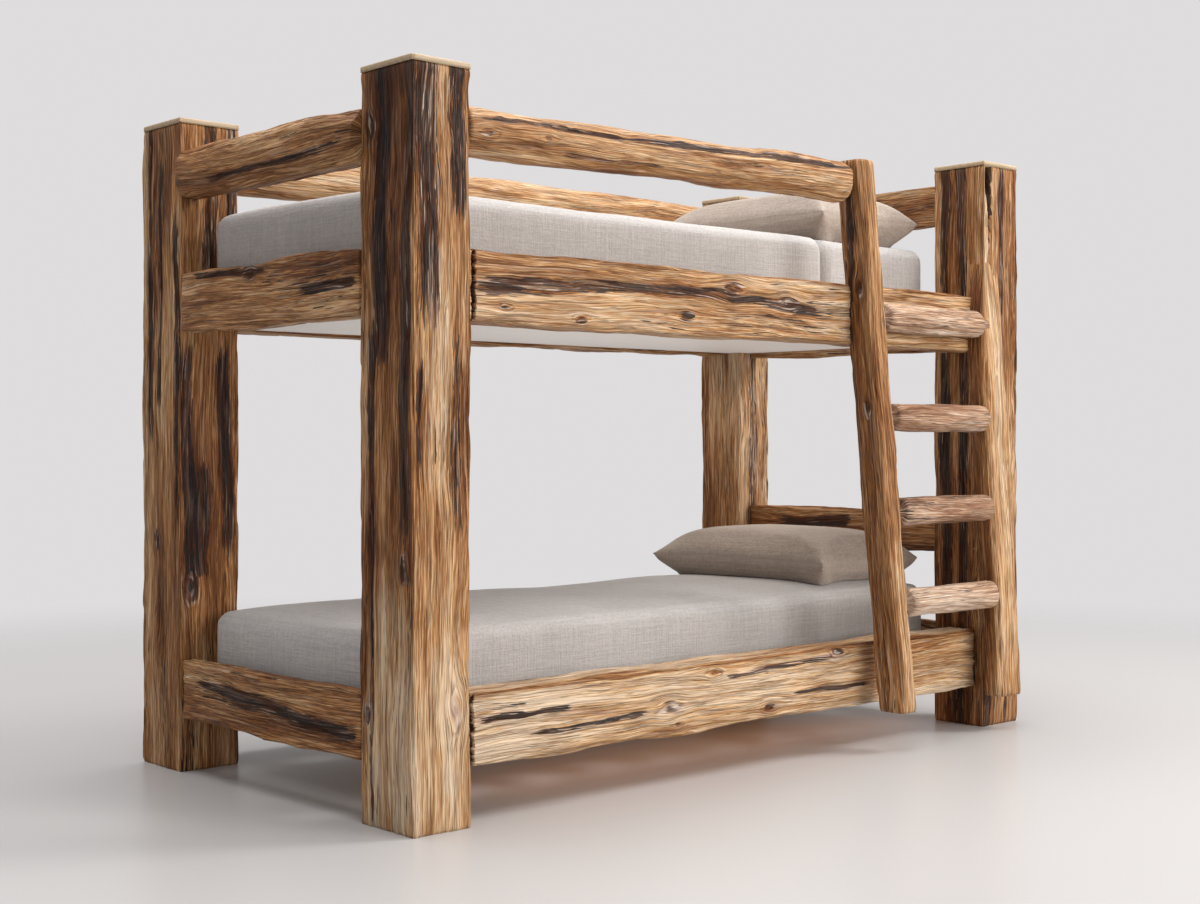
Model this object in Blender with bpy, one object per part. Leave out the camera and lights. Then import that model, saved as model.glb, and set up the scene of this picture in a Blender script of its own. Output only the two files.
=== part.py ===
"""A rustic bunk bed of hewn timber: four squared posts joined by morticed rails, half-log
end guards, a ladder built onto the front head post, slats, mattresses and pillows.

Metres, +Z up. The foot end is at -X, the front, with the ladder, at -Y. The origin is on the
floor under the middle of the footprint.
"""

import math

import bmesh
import bpy
from mathutils import Vector
from mathutils.bvhtree import BVHTree

# Posts: their spacing between centres, and each one's own section
POST_SPACING_LENGTH = 2.059
POST_SPACING_WIDTH = 0.978
POST_HEIGHT = 1.650
FRONT_FOOT_POST_X = 0.166
FRONT_FOOT_POST_Y = 0.205
BACK_FOOT_POST_X = 0.180
BACK_FOOT_POST_Y = 0.207
FRONT_HEAD_POST_X = 0.181
FRONT_HEAD_POST_Y = 0.188
BACK_HEAD_POST_X = 0.160
BACK_HEAD_POST_Y = 0.182
POST_CORNER = 0.018
CAP_THICKNESS = 0.014
CAP_DOME = 0.004
CAP_EASE = 0.012

# Hewn faces, fits and joinery
HEWN_DEPTH = 0.010
STILE_HEWN_DEPTH = 0.006
RUNG_HEWN_DEPTH = 0.004
RING_STEP = 0.115
FIT_GAP = 0.0003
TENON_DEPTH = 0.050
TENON_THICKNESS = 0.036
END_TENON_THICKNESS = 0.026
TENON_SHOULDER = 0.030
TENON_CORNER = 0.003
LOG_TENON = 0.050
LOG_ROUND_SHARE = 0.46

# Side rails run along the bed, end rails across it. All the rails of a bunk share one top
SIDE_RAIL_FACE = 0.065
SIDE_RAIL_THICKNESS = 0.110
SIDE_RAIL_CORNER = 0.014
UPPER_RAIL_TOP = 1.262
FRONT_UPPER_RAIL_HEIGHT = 0.173
BACK_UPPER_RAIL_HEIGHT = 0.150
UPPER_END_RAIL_HEIGHT = 0.162
LOWER_RAIL_TOP = 0.289
LOWER_SIDE_RAIL_HEIGHT = 0.176
LOWER_END_RAIL_HEIGHT = 0.158
FOOT_RAIL_FACE = 0.085
HEAD_RAIL_INNER_FACE = 0.020
END_RAIL_THICKNESS = 0.052
END_RAIL_CORNER = 0.012
HEADBOARD_TOP = 0.623
HEADBOARD_HEIGHT = 0.133

# Guard rails: round logs along the sides, half-logs across the ends. A drop is measured from the
# top of the posts, to a log's centre or to a half-log's top
FRONT_GUARD_DIAMETER = 0.118
FRONT_GUARD_FACE_OFFSET = 0.050
FRONT_GUARD_DROP = 0.139
FRONT_GUARD_RISE = 0.020
BACK_GUARD_DIAMETER = 0.138
BACK_GUARD_DROP = 0.102
END_GUARD_THICKNESS = 0.048
END_GUARD_ROUND = 0.038
END_GUARD_EASE = 0.007
FOOT_GUARD_DROP = 0.078
FOOT_GUARD_HEIGHT = 0.134
HEAD_GUARD_DROP = 0.042
HEAD_GUARD_HEIGHT = 0.128

# Ladder, measured along from the front head post's centre. The left stile's top is down from the
# post's top, the right one's is up from the upper rail
LADDER_LEAN = 0.061
LEFT_STILE_OFFSET_TOP = 0.639
LEFT_STILE_OFFSET_FOOT = 0.569
LEFT_STILE_X = 0.076
LEFT_STILE_Y = 0.100
LEFT_STILE_DROP = 0.062
LEFT_STILE_FOOT = 0.106
LEFT_STILE_FOOT_REACH = 0.150
RIGHT_STILE_OFFSET = 0.0665
RIGHT_STILE_X = 0.115
RIGHT_STILE_Y = 0.075
RIGHT_STILE_OVER_RAIL = 0.118
RIGHT_STILE_FOOT = 0.100
RIGHT_STILE_SETBACK = 0.008
STILE_CORNER = 0.022
RUNG_DIAMETER = 0.082
# From the upper rail's top down to each rung's centre, the lowest rung first
RUNG_DROPS = (0.869, 0.622, 0.365, 0.094)
RUNG_TENON = 0.045
RUNG_TENON_DEPTH = 0.045
RUNG_TENON_STOP = 0.005
RUNG_NECK = 0.030
RUNG_END_ROUND = 0.012
PEG_DIAMETER = 0.024
PEG_IN_STILE = 0.024
PEG_IN_FRAME = 0.045
PEG_SIDES = 12

# Mattress supports, measured down from the tops of the rails
SLAT_COUNT = 9
SLAT_WIDTH = 0.090
SLAT_THICKNESS = 0.020
SLAT_END_MARGIN = 0.050
CLEAT_WIDTH = 0.030
LOWER_SLAT_DROP = 0.0745
LOWER_CLEAT_HEIGHT = 0.040
UPPER_CLEAT_HEIGHT = 0.0574
BOARD_BEVEL = 0.003
PANEL_THICKNESS = 0.012
PANEL_DROP = 0.137

# Soft pieces. The posts and end rails hold a mattress of 30 by 80 inches, with these gaps
MATTRESS_SIDE_GAP = 0.0045
MATTRESS_FOOT_GAP = 0.003
MATTRESS_HEAD_GAP = 0.037
MATTRESS_THICKNESS = 0.198
MATTRESS_CROWN = 0.010
MATTRESS_DRAW_IN = 0.006
MATTRESS_EDGE = 0.040
MATTRESS_EDGE_STEPS = 3
MATTRESS_CELLS = 8
FOLD_FROM_HEAD = 0.480
FOLD_DEPTH = 0.014
FOLD_WIDTH = 0.070
FOLD_CELLS = 4
PILLOW_DEPTH = 0.460
PILLOW_WIDTH = 0.660
PILLOW_LOFT = 0.115
PILLOW_UNDER = 0.034
PILLOW_PINCH = 0.090
PILLOW_FULLNESS = 0.60
PILLOW_FLAT_SHARE = 1.6
PILLOW_HEAD_GAP = 0.060
PILLOW_CELLS_X = 12
PILLOW_CELLS_Y = 16

CORNER_STEPS = 2
CUT_PAST = 0.020
ALONG, ACROSS, UP = range(3)
# Each slow wave of a hewn face: radians per metre along the grain, and waves per turn around it
HEWN_WAVES = ((6.1, 2), (11.7, 1), (17.3, 3))
# A point is on a flat face where the cosine to that face, or its share of the half size, is over these
SAWN_COSINE = 0.9
FACE_SHARE = 0.99

for leftover in list(bpy.data.objects):
    bpy.data.objects.remove(leftover, do_unlink=True)

half_length = POST_SPACING_LENGTH / 2
half_width = POST_SPACING_WIDTH / 2

# The footprint runs from the ladder's foot to the back of the back posts
ladder_front = half_width + LEFT_STILE_FOOT_REACH + LEFT_STILE_Y / 2
posts_back = half_width + max(BACK_FOOT_POST_Y, BACK_HEAD_POST_Y) / 2
bed = bpy.data.objects.new("bunk_bed", None)
bed.location = (0, (ladder_front - posts_back) / 2, 0)
bpy.context.collection.objects.link(bed)


def finish(name, color, roughness):
    """A Principled material with the piece's own colour."""
    material = bpy.data.materials.new(name)
    material.use_nodes = True
    shader = material.node_tree.nodes["Principled BSDF"]
    shader.inputs["Base Color"].default_value = (*color, 1)
    shader.inputs["Roughness"].default_value = roughness
    material.diffuse_color = (*color, 1)
    return material


HEWN_WOOD = finish("hewn_timber", (0.42, 0.24, 0.11), 0.55)
RUNG_WOOD = finish("peeled_rung", (0.55, 0.36, 0.22), 0.55)
CAP_WOOD = finish("bare_cap", (0.68, 0.56, 0.40), 0.60)
SLAT_WOOD = finish("planed_slat", (0.66, 0.50, 0.32), 0.60)
PANEL_PAINT = finish("pale_panel", (0.78, 0.75, 0.73), 0.70)
SHEET_LINEN = finish("mattress_linen", (0.52, 0.48, 0.45), 0.90)
PILLOW_LINEN = finish("pillow_linen", (0.42, 0.38, 0.34), 0.90)


def piece(name, bm, material, location=(0, 0, 0), smooth_angle=40):
    """One named solid, parented to the bed, with its faces turned outwards. Its quads are split
    the same way on a piece and on the cutter made from it, so that the two match."""
    bmesh.ops.triangulate(bm, faces=bm.faces, quad_method="FIXED")
    bmesh.ops.recalc_face_normals(bm, faces=bm.faces)
    mesh = bpy.data.meshes.new(name)
    bm.to_mesh(mesh)
    bm.free()
    mesh.materials.append(material)
    mesh.shade_smooth()
    mesh.set_sharp_from_angle(angle=math.radians(smooth_angle))
    made = bpy.data.objects.new(name, mesh)
    made.location = location
    made.parent = bed
    bpy.context.collection.objects.link(made)
    return made


def cut(target, name, shells):
    """Takes every shell, a list of rings, out of the target."""
    bm = bmesh.new()
    for rings in shells:
        loft(bm, rings)
    cutter = piece(name, bm, HEWN_WOOD)
    cutter.hide_render = True
    cutter.display_type = "WIRE"
    joinery = target.modifiers.new(name, "BOOLEAN")
    joinery.operation = "DIFFERENCE"
    joinery.solver = "EXACT"
    joinery.object = cutter


def loft(bm, rings):
    """A closed skin through the rings: the first is a face, drawn on through the others."""
    first = bm.faces.new([bm.verts.new(point) for point in rings[0]])
    end = first
    for ring_points in rings[1:]:
        grown = bmesh.ops.extrude_face_region(bm, geom=[end])
        if end is not first:
            bm.faces.remove(end)
        end = next(item for item in grown["geom"] if isinstance(item, bmesh.types.BMFace))
        for vert, point in zip(end.verts, ring_points):
            vert.co = point


def profile(width, height, low_corner, high_corner=None):
    """A rounded rectangle as (u, v, angle) points. A corner is its two radii, along u and v;
    the low one is on the -u side."""
    high_corner = high_corner or low_corner
    points = []
    for quarter in range(4):
        first = quarter * math.pi / 2
        middle = first + math.pi / 4
        radius_u, radius_v = high_corner if math.cos(middle) > 0 else low_corner
        centre_u = math.copysign(width / 2 - radius_u, math.cos(middle))
        centre_v = math.copysign(height / 2 - radius_v, math.sin(middle))
        for step in range(CORNER_STEPS + 1):
            angle = first + step * math.pi / 2 / CORNER_STEPS
            points.append((centre_u + radius_u * math.cos(angle),
                           centre_v + radius_v * math.sin(angle), angle))
    return points


def square_profile(width, height, corner):
    return profile(width, height, (corner, corner))


def log_profile(diameter):
    """A round log: its corners nearly meet."""
    return square_profile(diameter, diameter, LOG_ROUND_SHARE * diameter)


def ring(axis, along, centre, outline, grow=0.0):
    """The outline set square to an axis. centre is in X, Y, Z, and its part on the axis is
    not used."""
    across = [value for index, value in enumerate(centre) if index != axis]
    points = []
    for u, v, angle in outline:
        point = [across[0] + u + grow * math.cos(angle), across[1] + v + grow * math.sin(angle)]
        point.insert(axis, along)
        points.append(Vector(point))
    return points


def hollow(along, angle, seed):
    """How deep the hewn face lies under the saw line here, from 0 to 1."""
    waves = [math.sin(rate * along + turns * angle + seed * rate) for rate, turns in HEWN_WAVES]
    return 0.5 + sum(waves) / (2 * len(waves))


def hewn_rings(axis, start, end, outline, seed, depth, sawn=None, grow=0.0, end_round=0.0):
    """Rings from start to end, sunk into hollows under the saw line. The face whose outward
    angle is sawn stays flat, and end_round eases both ends."""
    start = Vector(start)
    end = Vector(end)
    steps = max(2, math.ceil((end[axis] - start[axis]) / RING_STEP))
    shares = [index / steps for index in range(steps + 1)]
    eased = end_round / (end[axis] - start[axis])
    if end_round:
        shares = [0, eased, *shares[1:-1], 1 - eased, 1]
    rings = []
    for share in shares:
        centre = start.lerp(end, share)
        inset = end_round if share in (0, 1) else 0
        points = []
        for corner in outline:
            angle = corner[2]
            flat = sawn is not None and math.cos(angle - sawn) > SAWN_COSINE
            sunk = 0 if flat else depth * hollow(centre[axis], angle, seed)
            points += ring(axis, centre[axis], centre, [corner], grow - sunk - inset)
        rings.append(points)
    return rings


def tenon_rings(axis, root, tip, centre, outline, grow=0.0):
    return [ring(axis, root, centre, outline, grow), ring(axis, tip, centre, outline, grow)]


# Cuts that the pieces ask of each other: the name of the piece cut, then its shells
cuts = {}


def mortise(target, axis, root, tip, centre, outline):
    """Asks for the socket of a tenon that enters the target from root to tip."""
    inward = math.copysign(1, tip - root)
    shell = tenon_rings(axis, root - inward * CUT_PAST, tip + inward * FIT_GAP, centre, outline,
                        FIT_GAP)
    cuts.setdefault(target, []).append(shell)


def joined_bar(name, axis, start, end, outline, seed, targets, tenon, tenon_depth, **hewn):
    """A bar with a tenon at each end. Each target gets the socket. tenon is the outline and
    the centre offset of the tenon."""
    tenon_outline, tenon_offset = tenon
    body = hewn_rings(axis, start, end, outline, seed, hewn.pop("depth", HEWN_DEPTH), **hewn)
    first_tip = start[axis] - tenon_depth
    last_tip = end[axis] + tenon_depth
    first_centre = Vector(start) + Vector(tenon_offset)
    last_centre = Vector(end) + Vector(tenon_offset)
    first = tenon_rings(axis, start[axis], first_tip, first_centre, tenon_outline)
    last = tenon_rings(axis, end[axis], last_tip, last_centre, tenon_outline)
    mortise(targets[0], axis, start[axis], first_tip, first_centre, tenon_outline)
    mortise(targets[1], axis, end[axis], last_tip, last_centre, tenon_outline)
    bm = bmesh.new()
    loft(bm, [*reversed(first), *body, *last])
    return piece(name, bm, HEWN_WOOD)


def board(name, low, high, material):
    """A sawn board with eased edges."""
    low = Vector(low)
    high = Vector(high)
    bm = bmesh.new()
    bmesh.ops.create_cube(bm, size=1)
    bmesh.ops.scale(bm, vec=high - low, verts=bm.verts)
    bmesh.ops.translate(bm, vec=(low + high) / 2, verts=bm.verts)
    bmesh.ops.bevel(bm, geom=bm.edges[:], offset=BOARD_BEVEL, segments=1, profile=0.5,
                    affect="EDGES", material=-1)
    return piece(name, bm, material)


# Posts: squared tree trunks with a pale bare board let onto the top of each
post_sizes = {
    "front_foot_post": (-1, -1, FRONT_FOOT_POST_X, FRONT_FOOT_POST_Y),
    "back_foot_post": (-1, 1, BACK_FOOT_POST_X, BACK_FOOT_POST_Y),
    "front_head_post": (1, -1, FRONT_HEAD_POST_X, FRONT_HEAD_POST_Y),
    "back_head_post": (1, 1, BACK_HEAD_POST_X, BACK_HEAD_POST_Y),
}
objects = {}
post_centres = {}
for seed, (name, (side_x, side_y, size_x, size_y)) in enumerate(post_sizes.items(), start=1):
    centre = Vector((side_x * half_length, side_y * half_width, 0))
    outline = square_profile(size_x, size_y, POST_CORNER)
    seat = centre + Vector((0, 0, POST_HEIGHT - CAP_THICKNESS))
    shaft = hewn_rings(UP, centre, seat, outline, seed, HEWN_DEPTH)
    bm = bmesh.new()
    loft(bm, shaft)
    objects[name] = piece(name, bm, HEWN_WOOD)
    post_centres[name] = centre

    # The cap is flush with the post's top, and eased into a low dome
    eased = 1 - CAP_EASE / min(size_x, size_y)
    cap_levels = ((seat.z + FIT_GAP, 1), (POST_HEIGHT - CAP_DOME, 1), (POST_HEIGHT, eased))
    bm = bmesh.new()
    loft(bm, [[Vector((*centre.xy.lerp(point.xy, share), height)) for point in shaft[-1]]
              for height, share in cap_levels])
    piece(name.replace("post", "post_cap"), bm, CAP_WOOD)


def face(post, axis, toward):
    """The saw line of a post's face: the coordinate on the axis, on its side toward +1 or -1."""
    return post_centres[post][axis] + toward * post_sizes[post][2 + axis] / 2


def side_bar(name, side, offset, heights, outline, seed, tenon, **hewn):
    """A bar between the two posts of one side. offset is its centre's distance out from the
    post centres, heights are those of its centre at the foot and at the head."""
    outward = -1 if side == "front" else 1
    across = outward * (half_width + offset)
    posts = (f"{side}_foot_post", f"{side}_head_post")
    start = (face(posts[0], ALONG, 1) + FIT_GAP, across, heights[0])
    end = (face(posts[1], ALONG, -1) - FIT_GAP, across, heights[1])
    objects[name] = joined_bar(name, ALONG, start, end, outline, seed, posts, tenon,
                               TENON_DEPTH, **hewn)
    return start, end


def end_bar(name, end_name, along, height, outline, seed, tenon, **hewn):
    """A bar between the two posts of one end."""
    posts = (f"front_{end_name}_post", f"back_{end_name}_post")
    start = (along, face(posts[0], ACROSS, 1) + FIT_GAP, height)
    end = (along, face(posts[1], ACROSS, -1) - FIT_GAP, height)
    objects[name] = joined_bar(name, ACROSS, start, end, outline, seed, posts, tenon,
                               TENON_DEPTH, **hewn)


# Side rails: heavy planks, sawn flat inside where the cleats lie
rail_centre_offset = SIDE_RAIL_FACE - SIDE_RAIL_THICKNESS / 2
side_rails = (
    ("front_lower_rail", "front", LOWER_SIDE_RAIL_HEIGHT, LOWER_RAIL_TOP),
    ("back_lower_rail", "back", LOWER_SIDE_RAIL_HEIGHT, LOWER_RAIL_TOP),
    ("front_upper_rail", "front", FRONT_UPPER_RAIL_HEIGHT, UPPER_RAIL_TOP),
    ("back_upper_rail", "back", BACK_UPPER_RAIL_HEIGHT, UPPER_RAIL_TOP),
)
rail_bodies = {}
for seed, (name, side, height, top) in enumerate(side_rails, start=11):
    outline = square_profile(SIDE_RAIL_THICKNESS, height, SIDE_RAIL_CORNER)
    tenon_outline = square_profile(TENON_THICKNESS, height - 2 * TENON_SHOULDER, TENON_CORNER)
    inward = 0 if side == "front" else math.pi
    middle = top - height / 2
    ends = side_bar(name, side, rail_centre_offset, (middle, middle), outline, seed,
                    (tenon_outline, (0, 0, 0)), sawn=inward)
    rail_bodies[name] = (ends, outline, seed, inward)

# End rails and the headboard rail: thinner planks with a tenon set towards the inside
foot_rail_along = -half_length - FOOT_RAIL_FACE + END_RAIL_THICKNESS / 2
head_rail_along = half_length - HEAD_RAIL_INNER_FACE + END_RAIL_THICKNESS / 2
end_rails = (
    ("foot_lower_rail", "foot", LOWER_END_RAIL_HEIGHT, LOWER_RAIL_TOP),
    ("head_lower_rail", "head", LOWER_END_RAIL_HEIGHT, LOWER_RAIL_TOP),
    ("foot_upper_rail", "foot", UPPER_END_RAIL_HEIGHT, UPPER_RAIL_TOP),
    ("head_upper_rail", "head", UPPER_END_RAIL_HEIGHT, UPPER_RAIL_TOP),
    ("headboard_rail", "head", HEADBOARD_HEIGHT, HEADBOARD_TOP),
)
for seed, (name, end_name, height, top) in enumerate(end_rails, start=21):
    along = foot_rail_along if end_name == "foot" else head_rail_along
    outline = square_profile(END_RAIL_THICKNESS, height, END_RAIL_CORNER)
    tenon_outline = square_profile(END_TENON_THICKNESS, height - 2 * TENON_SHOULDER, TENON_CORNER)
    inward = 1 if end_name == "foot" else -1
    bare = (END_RAIL_THICKNESS - END_TENON_THICKNESS) / 2 - TENON_CORNER
    end_bar(name, end_name, along, top - height / 2, outline, seed,
            (tenon_outline, (inward * bare, 0, 0)), sawn=0 if inward > 0 else math.pi)

# Half-log guards across the ends: flat on the side that faces the mattress
log_tenon = (log_profile(LOG_TENON), (0, 0, 0))
end_guards = (
    ("foot_guard", "foot", FOOT_GUARD_HEIGHT, FOOT_GUARD_DROP),
    ("head_guard", "head", HEAD_GUARD_HEIGHT, HEAD_GUARD_DROP),
)
foot_inner_face = foot_rail_along + END_RAIL_THICKNESS / 2
head_inner_face = head_rail_along - END_RAIL_THICKNESS / 2
for seed, (name, end_name, height, drop) in enumerate(end_guards, start=31):
    round_side = (END_GUARD_ROUND, LOG_ROUND_SHARE * height)
    flat_side = (END_GUARD_EASE, END_GUARD_EASE)
    at_foot = end_name == "foot"
    outline = profile(END_GUARD_THICKNESS, height,
                      round_side if at_foot else flat_side,
                      flat_side if at_foot else round_side)
    inward = 1 if at_foot else -1
    inner_face = foot_inner_face if at_foot else head_inner_face
    along = inner_face - inward * END_GUARD_THICKNESS / 2
    tenon_outline = square_profile(END_TENON_THICKNESS, LOG_TENON, TENON_CORNER)
    bare = (END_GUARD_THICKNESS - END_TENON_THICKNESS) / 2 - TENON_CORNER
    end_bar(name, end_name, along, POST_HEIGHT - drop - height / 2, outline, seed,
            (tenon_outline, (inward * bare, 0, 0)), sawn=0 if at_foot else math.pi)

# The back guard: a whole log
back_guard_height = POST_HEIGHT - BACK_GUARD_DROP
side_bar("back_guard", "back", 0, (back_guard_height, back_guard_height),
         log_profile(BACK_GUARD_DIAMETER), 33, log_tenon)

# Ladder stiles: split saplings that lean on the bed. The left one is notched over the upper
# rail, the right one is scribed to the front head post and dies into it
ladder_post = post_centres["front_head_post"]
left_stile_top = POST_HEIGHT - LEFT_STILE_DROP
right_stile_top = UPPER_RAIL_TOP + RIGHT_STILE_OVER_RAIL
rung_heights = [UPPER_RAIL_TOP - drop for drop in RUNG_DROPS]


def ladder_across(height):
    """The ladder's centre plane at a height."""
    return -half_width - LEFT_STILE_FOOT_REACH + LADDER_LEAN * (height - LEFT_STILE_FOOT)


def left_stile_along(height):
    share = (height - LEFT_STILE_FOOT) / (left_stile_top - LEFT_STILE_FOOT)
    offset = LEFT_STILE_OFFSET_FOOT + share * (LEFT_STILE_OFFSET_TOP - LEFT_STILE_OFFSET_FOOT)
    return ladder_post.x - offset


right_stile_along = ladder_post.x - RIGHT_STILE_OFFSET
left_ends = [(left_stile_along(height), ladder_across(height), height)
             for height in (LEFT_STILE_FOOT, left_stile_top)]
right_ends = [(right_stile_along, ladder_across(height) + RIGHT_STILE_SETBACK, height)
              for height in (RIGHT_STILE_FOOT, right_stile_top)]
stiles = (
    ("left_stile", left_ends, LEFT_STILE_X, LEFT_STILE_Y, 41),
    ("right_stile", right_ends, RIGHT_STILE_X, RIGHT_STILE_Y, 42),
)
for name, (start, end), size_x, size_y, seed in stiles:
    outline = square_profile(size_x, size_y, STILE_CORNER)
    bm = bmesh.new()
    loft(bm, hewn_rings(UP, start, end, outline, seed, STILE_HEWN_DEPTH))
    objects[name] = piece(name, bm, HEWN_WOOD)

# Both stiles are cut by the rail that they cross, the right one by its post too
(rail_start, rail_end), rail_outline, rail_seed, rail_sawn = rail_bodies["front_upper_rail"]
rail_shape = hewn_rings(ALONG, rail_start, rail_end, rail_outline, rail_seed, HEWN_DEPTH,
                        sawn=rail_sawn, grow=FIT_GAP)
post_outline = square_profile(FRONT_HEAD_POST_X, FRONT_HEAD_POST_Y, POST_CORNER)
post_top = ladder_post + Vector((0, 0, POST_HEIGHT - CAP_THICKNESS))
post_seed = list(post_sizes).index("front_head_post") + 1
post_shape = hewn_rings(UP, ladder_post, post_top, post_outline, post_seed, HEWN_DEPTH,
                        grow=FIT_GAP)
cut(objects["left_stile"], "left_stile_notch", [rail_shape])
cut(objects["right_stile"], "right_stile_notch", [rail_shape])
cut(objects["right_stile"], "right_stile_scribe", [post_shape])

# The front guard: a log from the foot post to the left stile
guard_foot = POST_HEIGHT - FRONT_GUARD_DROP
guard_head = guard_foot + FRONT_GUARD_RISE
guard_across = -half_width - FRONT_GUARD_FACE_OFFSET
guard_start = (face("front_foot_post", ALONG, 1) + FIT_GAP, guard_across, guard_foot)
guard_shoulder = left_stile_along(guard_head + FRONT_GUARD_DIAMETER / 2) - LEFT_STILE_X / 2
guard_end = (guard_shoulder - FIT_GAP, guard_across, guard_head)
objects["front_guard"] = joined_bar(
    "front_guard", ALONG, guard_start, guard_end, log_profile(FRONT_GUARD_DIAMETER), 34,
    ("front_foot_post", "left_stile"), log_tenon, TENON_DEPTH)

# Rungs: peeled poles. A thin neck shows at the left stile, a rounded end at the right one
rung_tenon = log_profile(RUNG_TENON)
for number, height in enumerate(rung_heights, start=1):
    across = ladder_across(height)
    left_face = left_stile_along(height) + LEFT_STILE_X / 2
    right_face = right_stile_along - RIGHT_STILE_X / 2
    start = (left_face + RUNG_NECK, across, height)
    end = (right_face - FIT_GAP, across, height)
    body = hewn_rings(ALONG, start, end, log_profile(RUNG_DIAMETER), 50 + number,
                      RUNG_HEWN_DEPTH, end_round=RUNG_END_ROUND)
    left_tip = left_face - RUNG_TENON_DEPTH
    right_tip = face("front_head_post", ALONG, -1) - RUNG_TENON_STOP
    left = tenon_rings(ALONG, start[0], left_tip, start, rung_tenon)
    right = tenon_rings(ALONG, end[0], right_tip, end, rung_tenon)
    mortise("left_stile", ALONG, left_face, left_tip, start, rung_tenon)
    mortise("right_stile", ALONG, right_face, right_tip, end, rung_tenon)
    bm = bmesh.new()
    loft(bm, [*reversed(left), *body, *right])
    name = f"rung_{number}"
    objects[name] = piece(name, bm, RUNG_WOOD)
    # A rung in front of the upper rail is cut flat behind, to lie against it
    rail_middle = UPPER_RAIL_TOP - FRONT_UPPER_RAIL_HEIGHT / 2
    if abs(height - rail_middle) < (FRONT_UPPER_RAIL_HEIGHT + RUNG_DIAMETER) / 2:
        cut(objects[name], f"{name}_flat", [rail_shape])

# Hidden pegs hold the stiles: one in the upper rail over the top rung's tenon, two in the post,
# each midway between rungs
rail_front = -half_width - SIDE_RAIL_FACE
post_front = face("front_head_post", ACROSS, -1)
over_top_rung = (rung_heights[-1] + RUNG_TENON / 2 + UPPER_RAIL_TOP - SIDE_RAIL_CORNER) / 2
pegs = (
    ("left_stile_peg", "left_stile", "front_upper_rail", left_stile_along(over_top_rung),
     rail_front, over_top_rung),
    ("right_stile_lower_peg", "right_stile", "front_head_post", right_stile_along,
     post_front, (rung_heights[0] + rung_heights[1]) / 2),
    ("right_stile_upper_peg", "right_stile", "front_head_post", right_stile_along,
     post_front, (rung_heights[2] + rung_heights[3]) / 2),
)
for name, stile, holder, along, joint, height in pegs:
    bm = bmesh.new()
    length = PEG_IN_STILE + PEG_IN_FRAME
    bmesh.ops.create_cone(bm, cap_ends=True, segments=PEG_SIDES, radius1=PEG_DIAMETER / 2,
                          radius2=PEG_DIAMETER / 2, depth=length)
    peg = piece(name, bm, SLAT_WOOD, (along, joint + (PEG_IN_FRAME - PEG_IN_STILE) / 2, height))
    peg.rotation_euler = (math.pi / 2, 0, 0)
    bore = peg.copy()
    bore.data = peg.data.copy()
    bore.name = f"{name}_bore"
    bore.scale = (1 + 2 * FIT_GAP / PEG_DIAMETER, 1 + 2 * FIT_GAP / PEG_DIAMETER,
                  1 + 2 * FIT_GAP / length)
    bore.hide_render = True
    bore.display_type = "WIRE"
    bpy.context.collection.objects.link(bore)
    for target in (stile, holder):
        joinery = objects[target].modifiers.new(bore.name, "BOOLEAN")
        joinery.solver = "EXACT"
        joinery.object = bore

for target, shells in cuts.items():
    cut(objects[target], f"{target}_mortises", shells)

# Cleats on the side rails carry the slats, and the underside panel of the upper bunk
rail_inner = half_width + rail_centre_offset - SIDE_RAIL_THICKNESS / 2
cleat_start = max(face(f"{side}_foot_post", ALONG, 1) for side in ("front", "back")) + FIT_GAP
cleat_end = min(face(f"{side}_head_post", ALONG, -1) for side in ("front", "back")) - FIT_GAP
panel_underside = UPPER_RAIL_TOP - PANEL_DROP
panel_top = panel_underside + PANEL_THICKNESS
lower_slat_bottom = LOWER_RAIL_TOP - LOWER_SLAT_DROP - SLAT_THICKNESS
upper_slat_bottom = panel_top + FIT_GAP + UPPER_CLEAT_HEIGHT + FIT_GAP
bunks = (
    ("lower", lower_slat_bottom, lower_slat_bottom - FIT_GAP - LOWER_CLEAT_HEIGHT),
    ("upper", upper_slat_bottom, panel_top + FIT_GAP),
)
for bunk, slat_bottom, cleat_bottom in bunks:
    slat_top = slat_bottom + SLAT_THICKNESS
    for side, outward in (("front", -1), ("back", 1)):
        near = outward * (rail_inner - FIT_GAP)
        far = outward * (rail_inner - FIT_GAP - CLEAT_WIDTH)
        board(f"{bunk}_{side}_cleat", (cleat_start, min(near, far), cleat_bottom),
              (cleat_end, max(near, far), slat_bottom - FIT_GAP), SLAT_WOOD)
    first = cleat_start + SLAT_END_MARGIN + SLAT_WIDTH / 2
    last = cleat_end - SLAT_END_MARGIN - SLAT_WIDTH / 2
    for number in range(SLAT_COUNT):
        along = first + (last - first) * number / (SLAT_COUNT - 1)
        board(f"{bunk}_slat_{number + 1}",
              (along - SLAT_WIDTH / 2, -rail_inner + FIT_GAP, slat_bottom),
              (along + SLAT_WIDTH / 2, rail_inner - FIT_GAP, slat_top), SLAT_WOOD)

# The pale panel closes the underside of the upper bunk, notched round the posts
bm = bmesh.new()
corners = (
    ("front_head_post", 1, -1), ("back_head_post", 1, 1),
    ("back_foot_post", -1, 1), ("front_foot_post", -1, -1),
)
outline = []
for post, toward_x, toward_y in corners:
    end_face = head_inner_face - FIT_GAP if toward_x > 0 else foot_inner_face + FIT_GAP
    notch_x = face(post, ALONG, -toward_x) - toward_x * FIT_GAP
    notch_y = face(post, ACROSS, -toward_y) - toward_y * FIT_GAP
    edge = toward_y * (rail_inner - FIT_GAP)
    notch = [(notch_x, edge), (notch_x, notch_y), (end_face, notch_y)]
    outline.extend(notch if toward_x * toward_y < 0 else reversed(notch))
loft(bm, [[Vector((*point, height)) for point in outline] for height in (panel_underside, panel_top)])
piece("underside_panel", bm, PANEL_PAINT)


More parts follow.
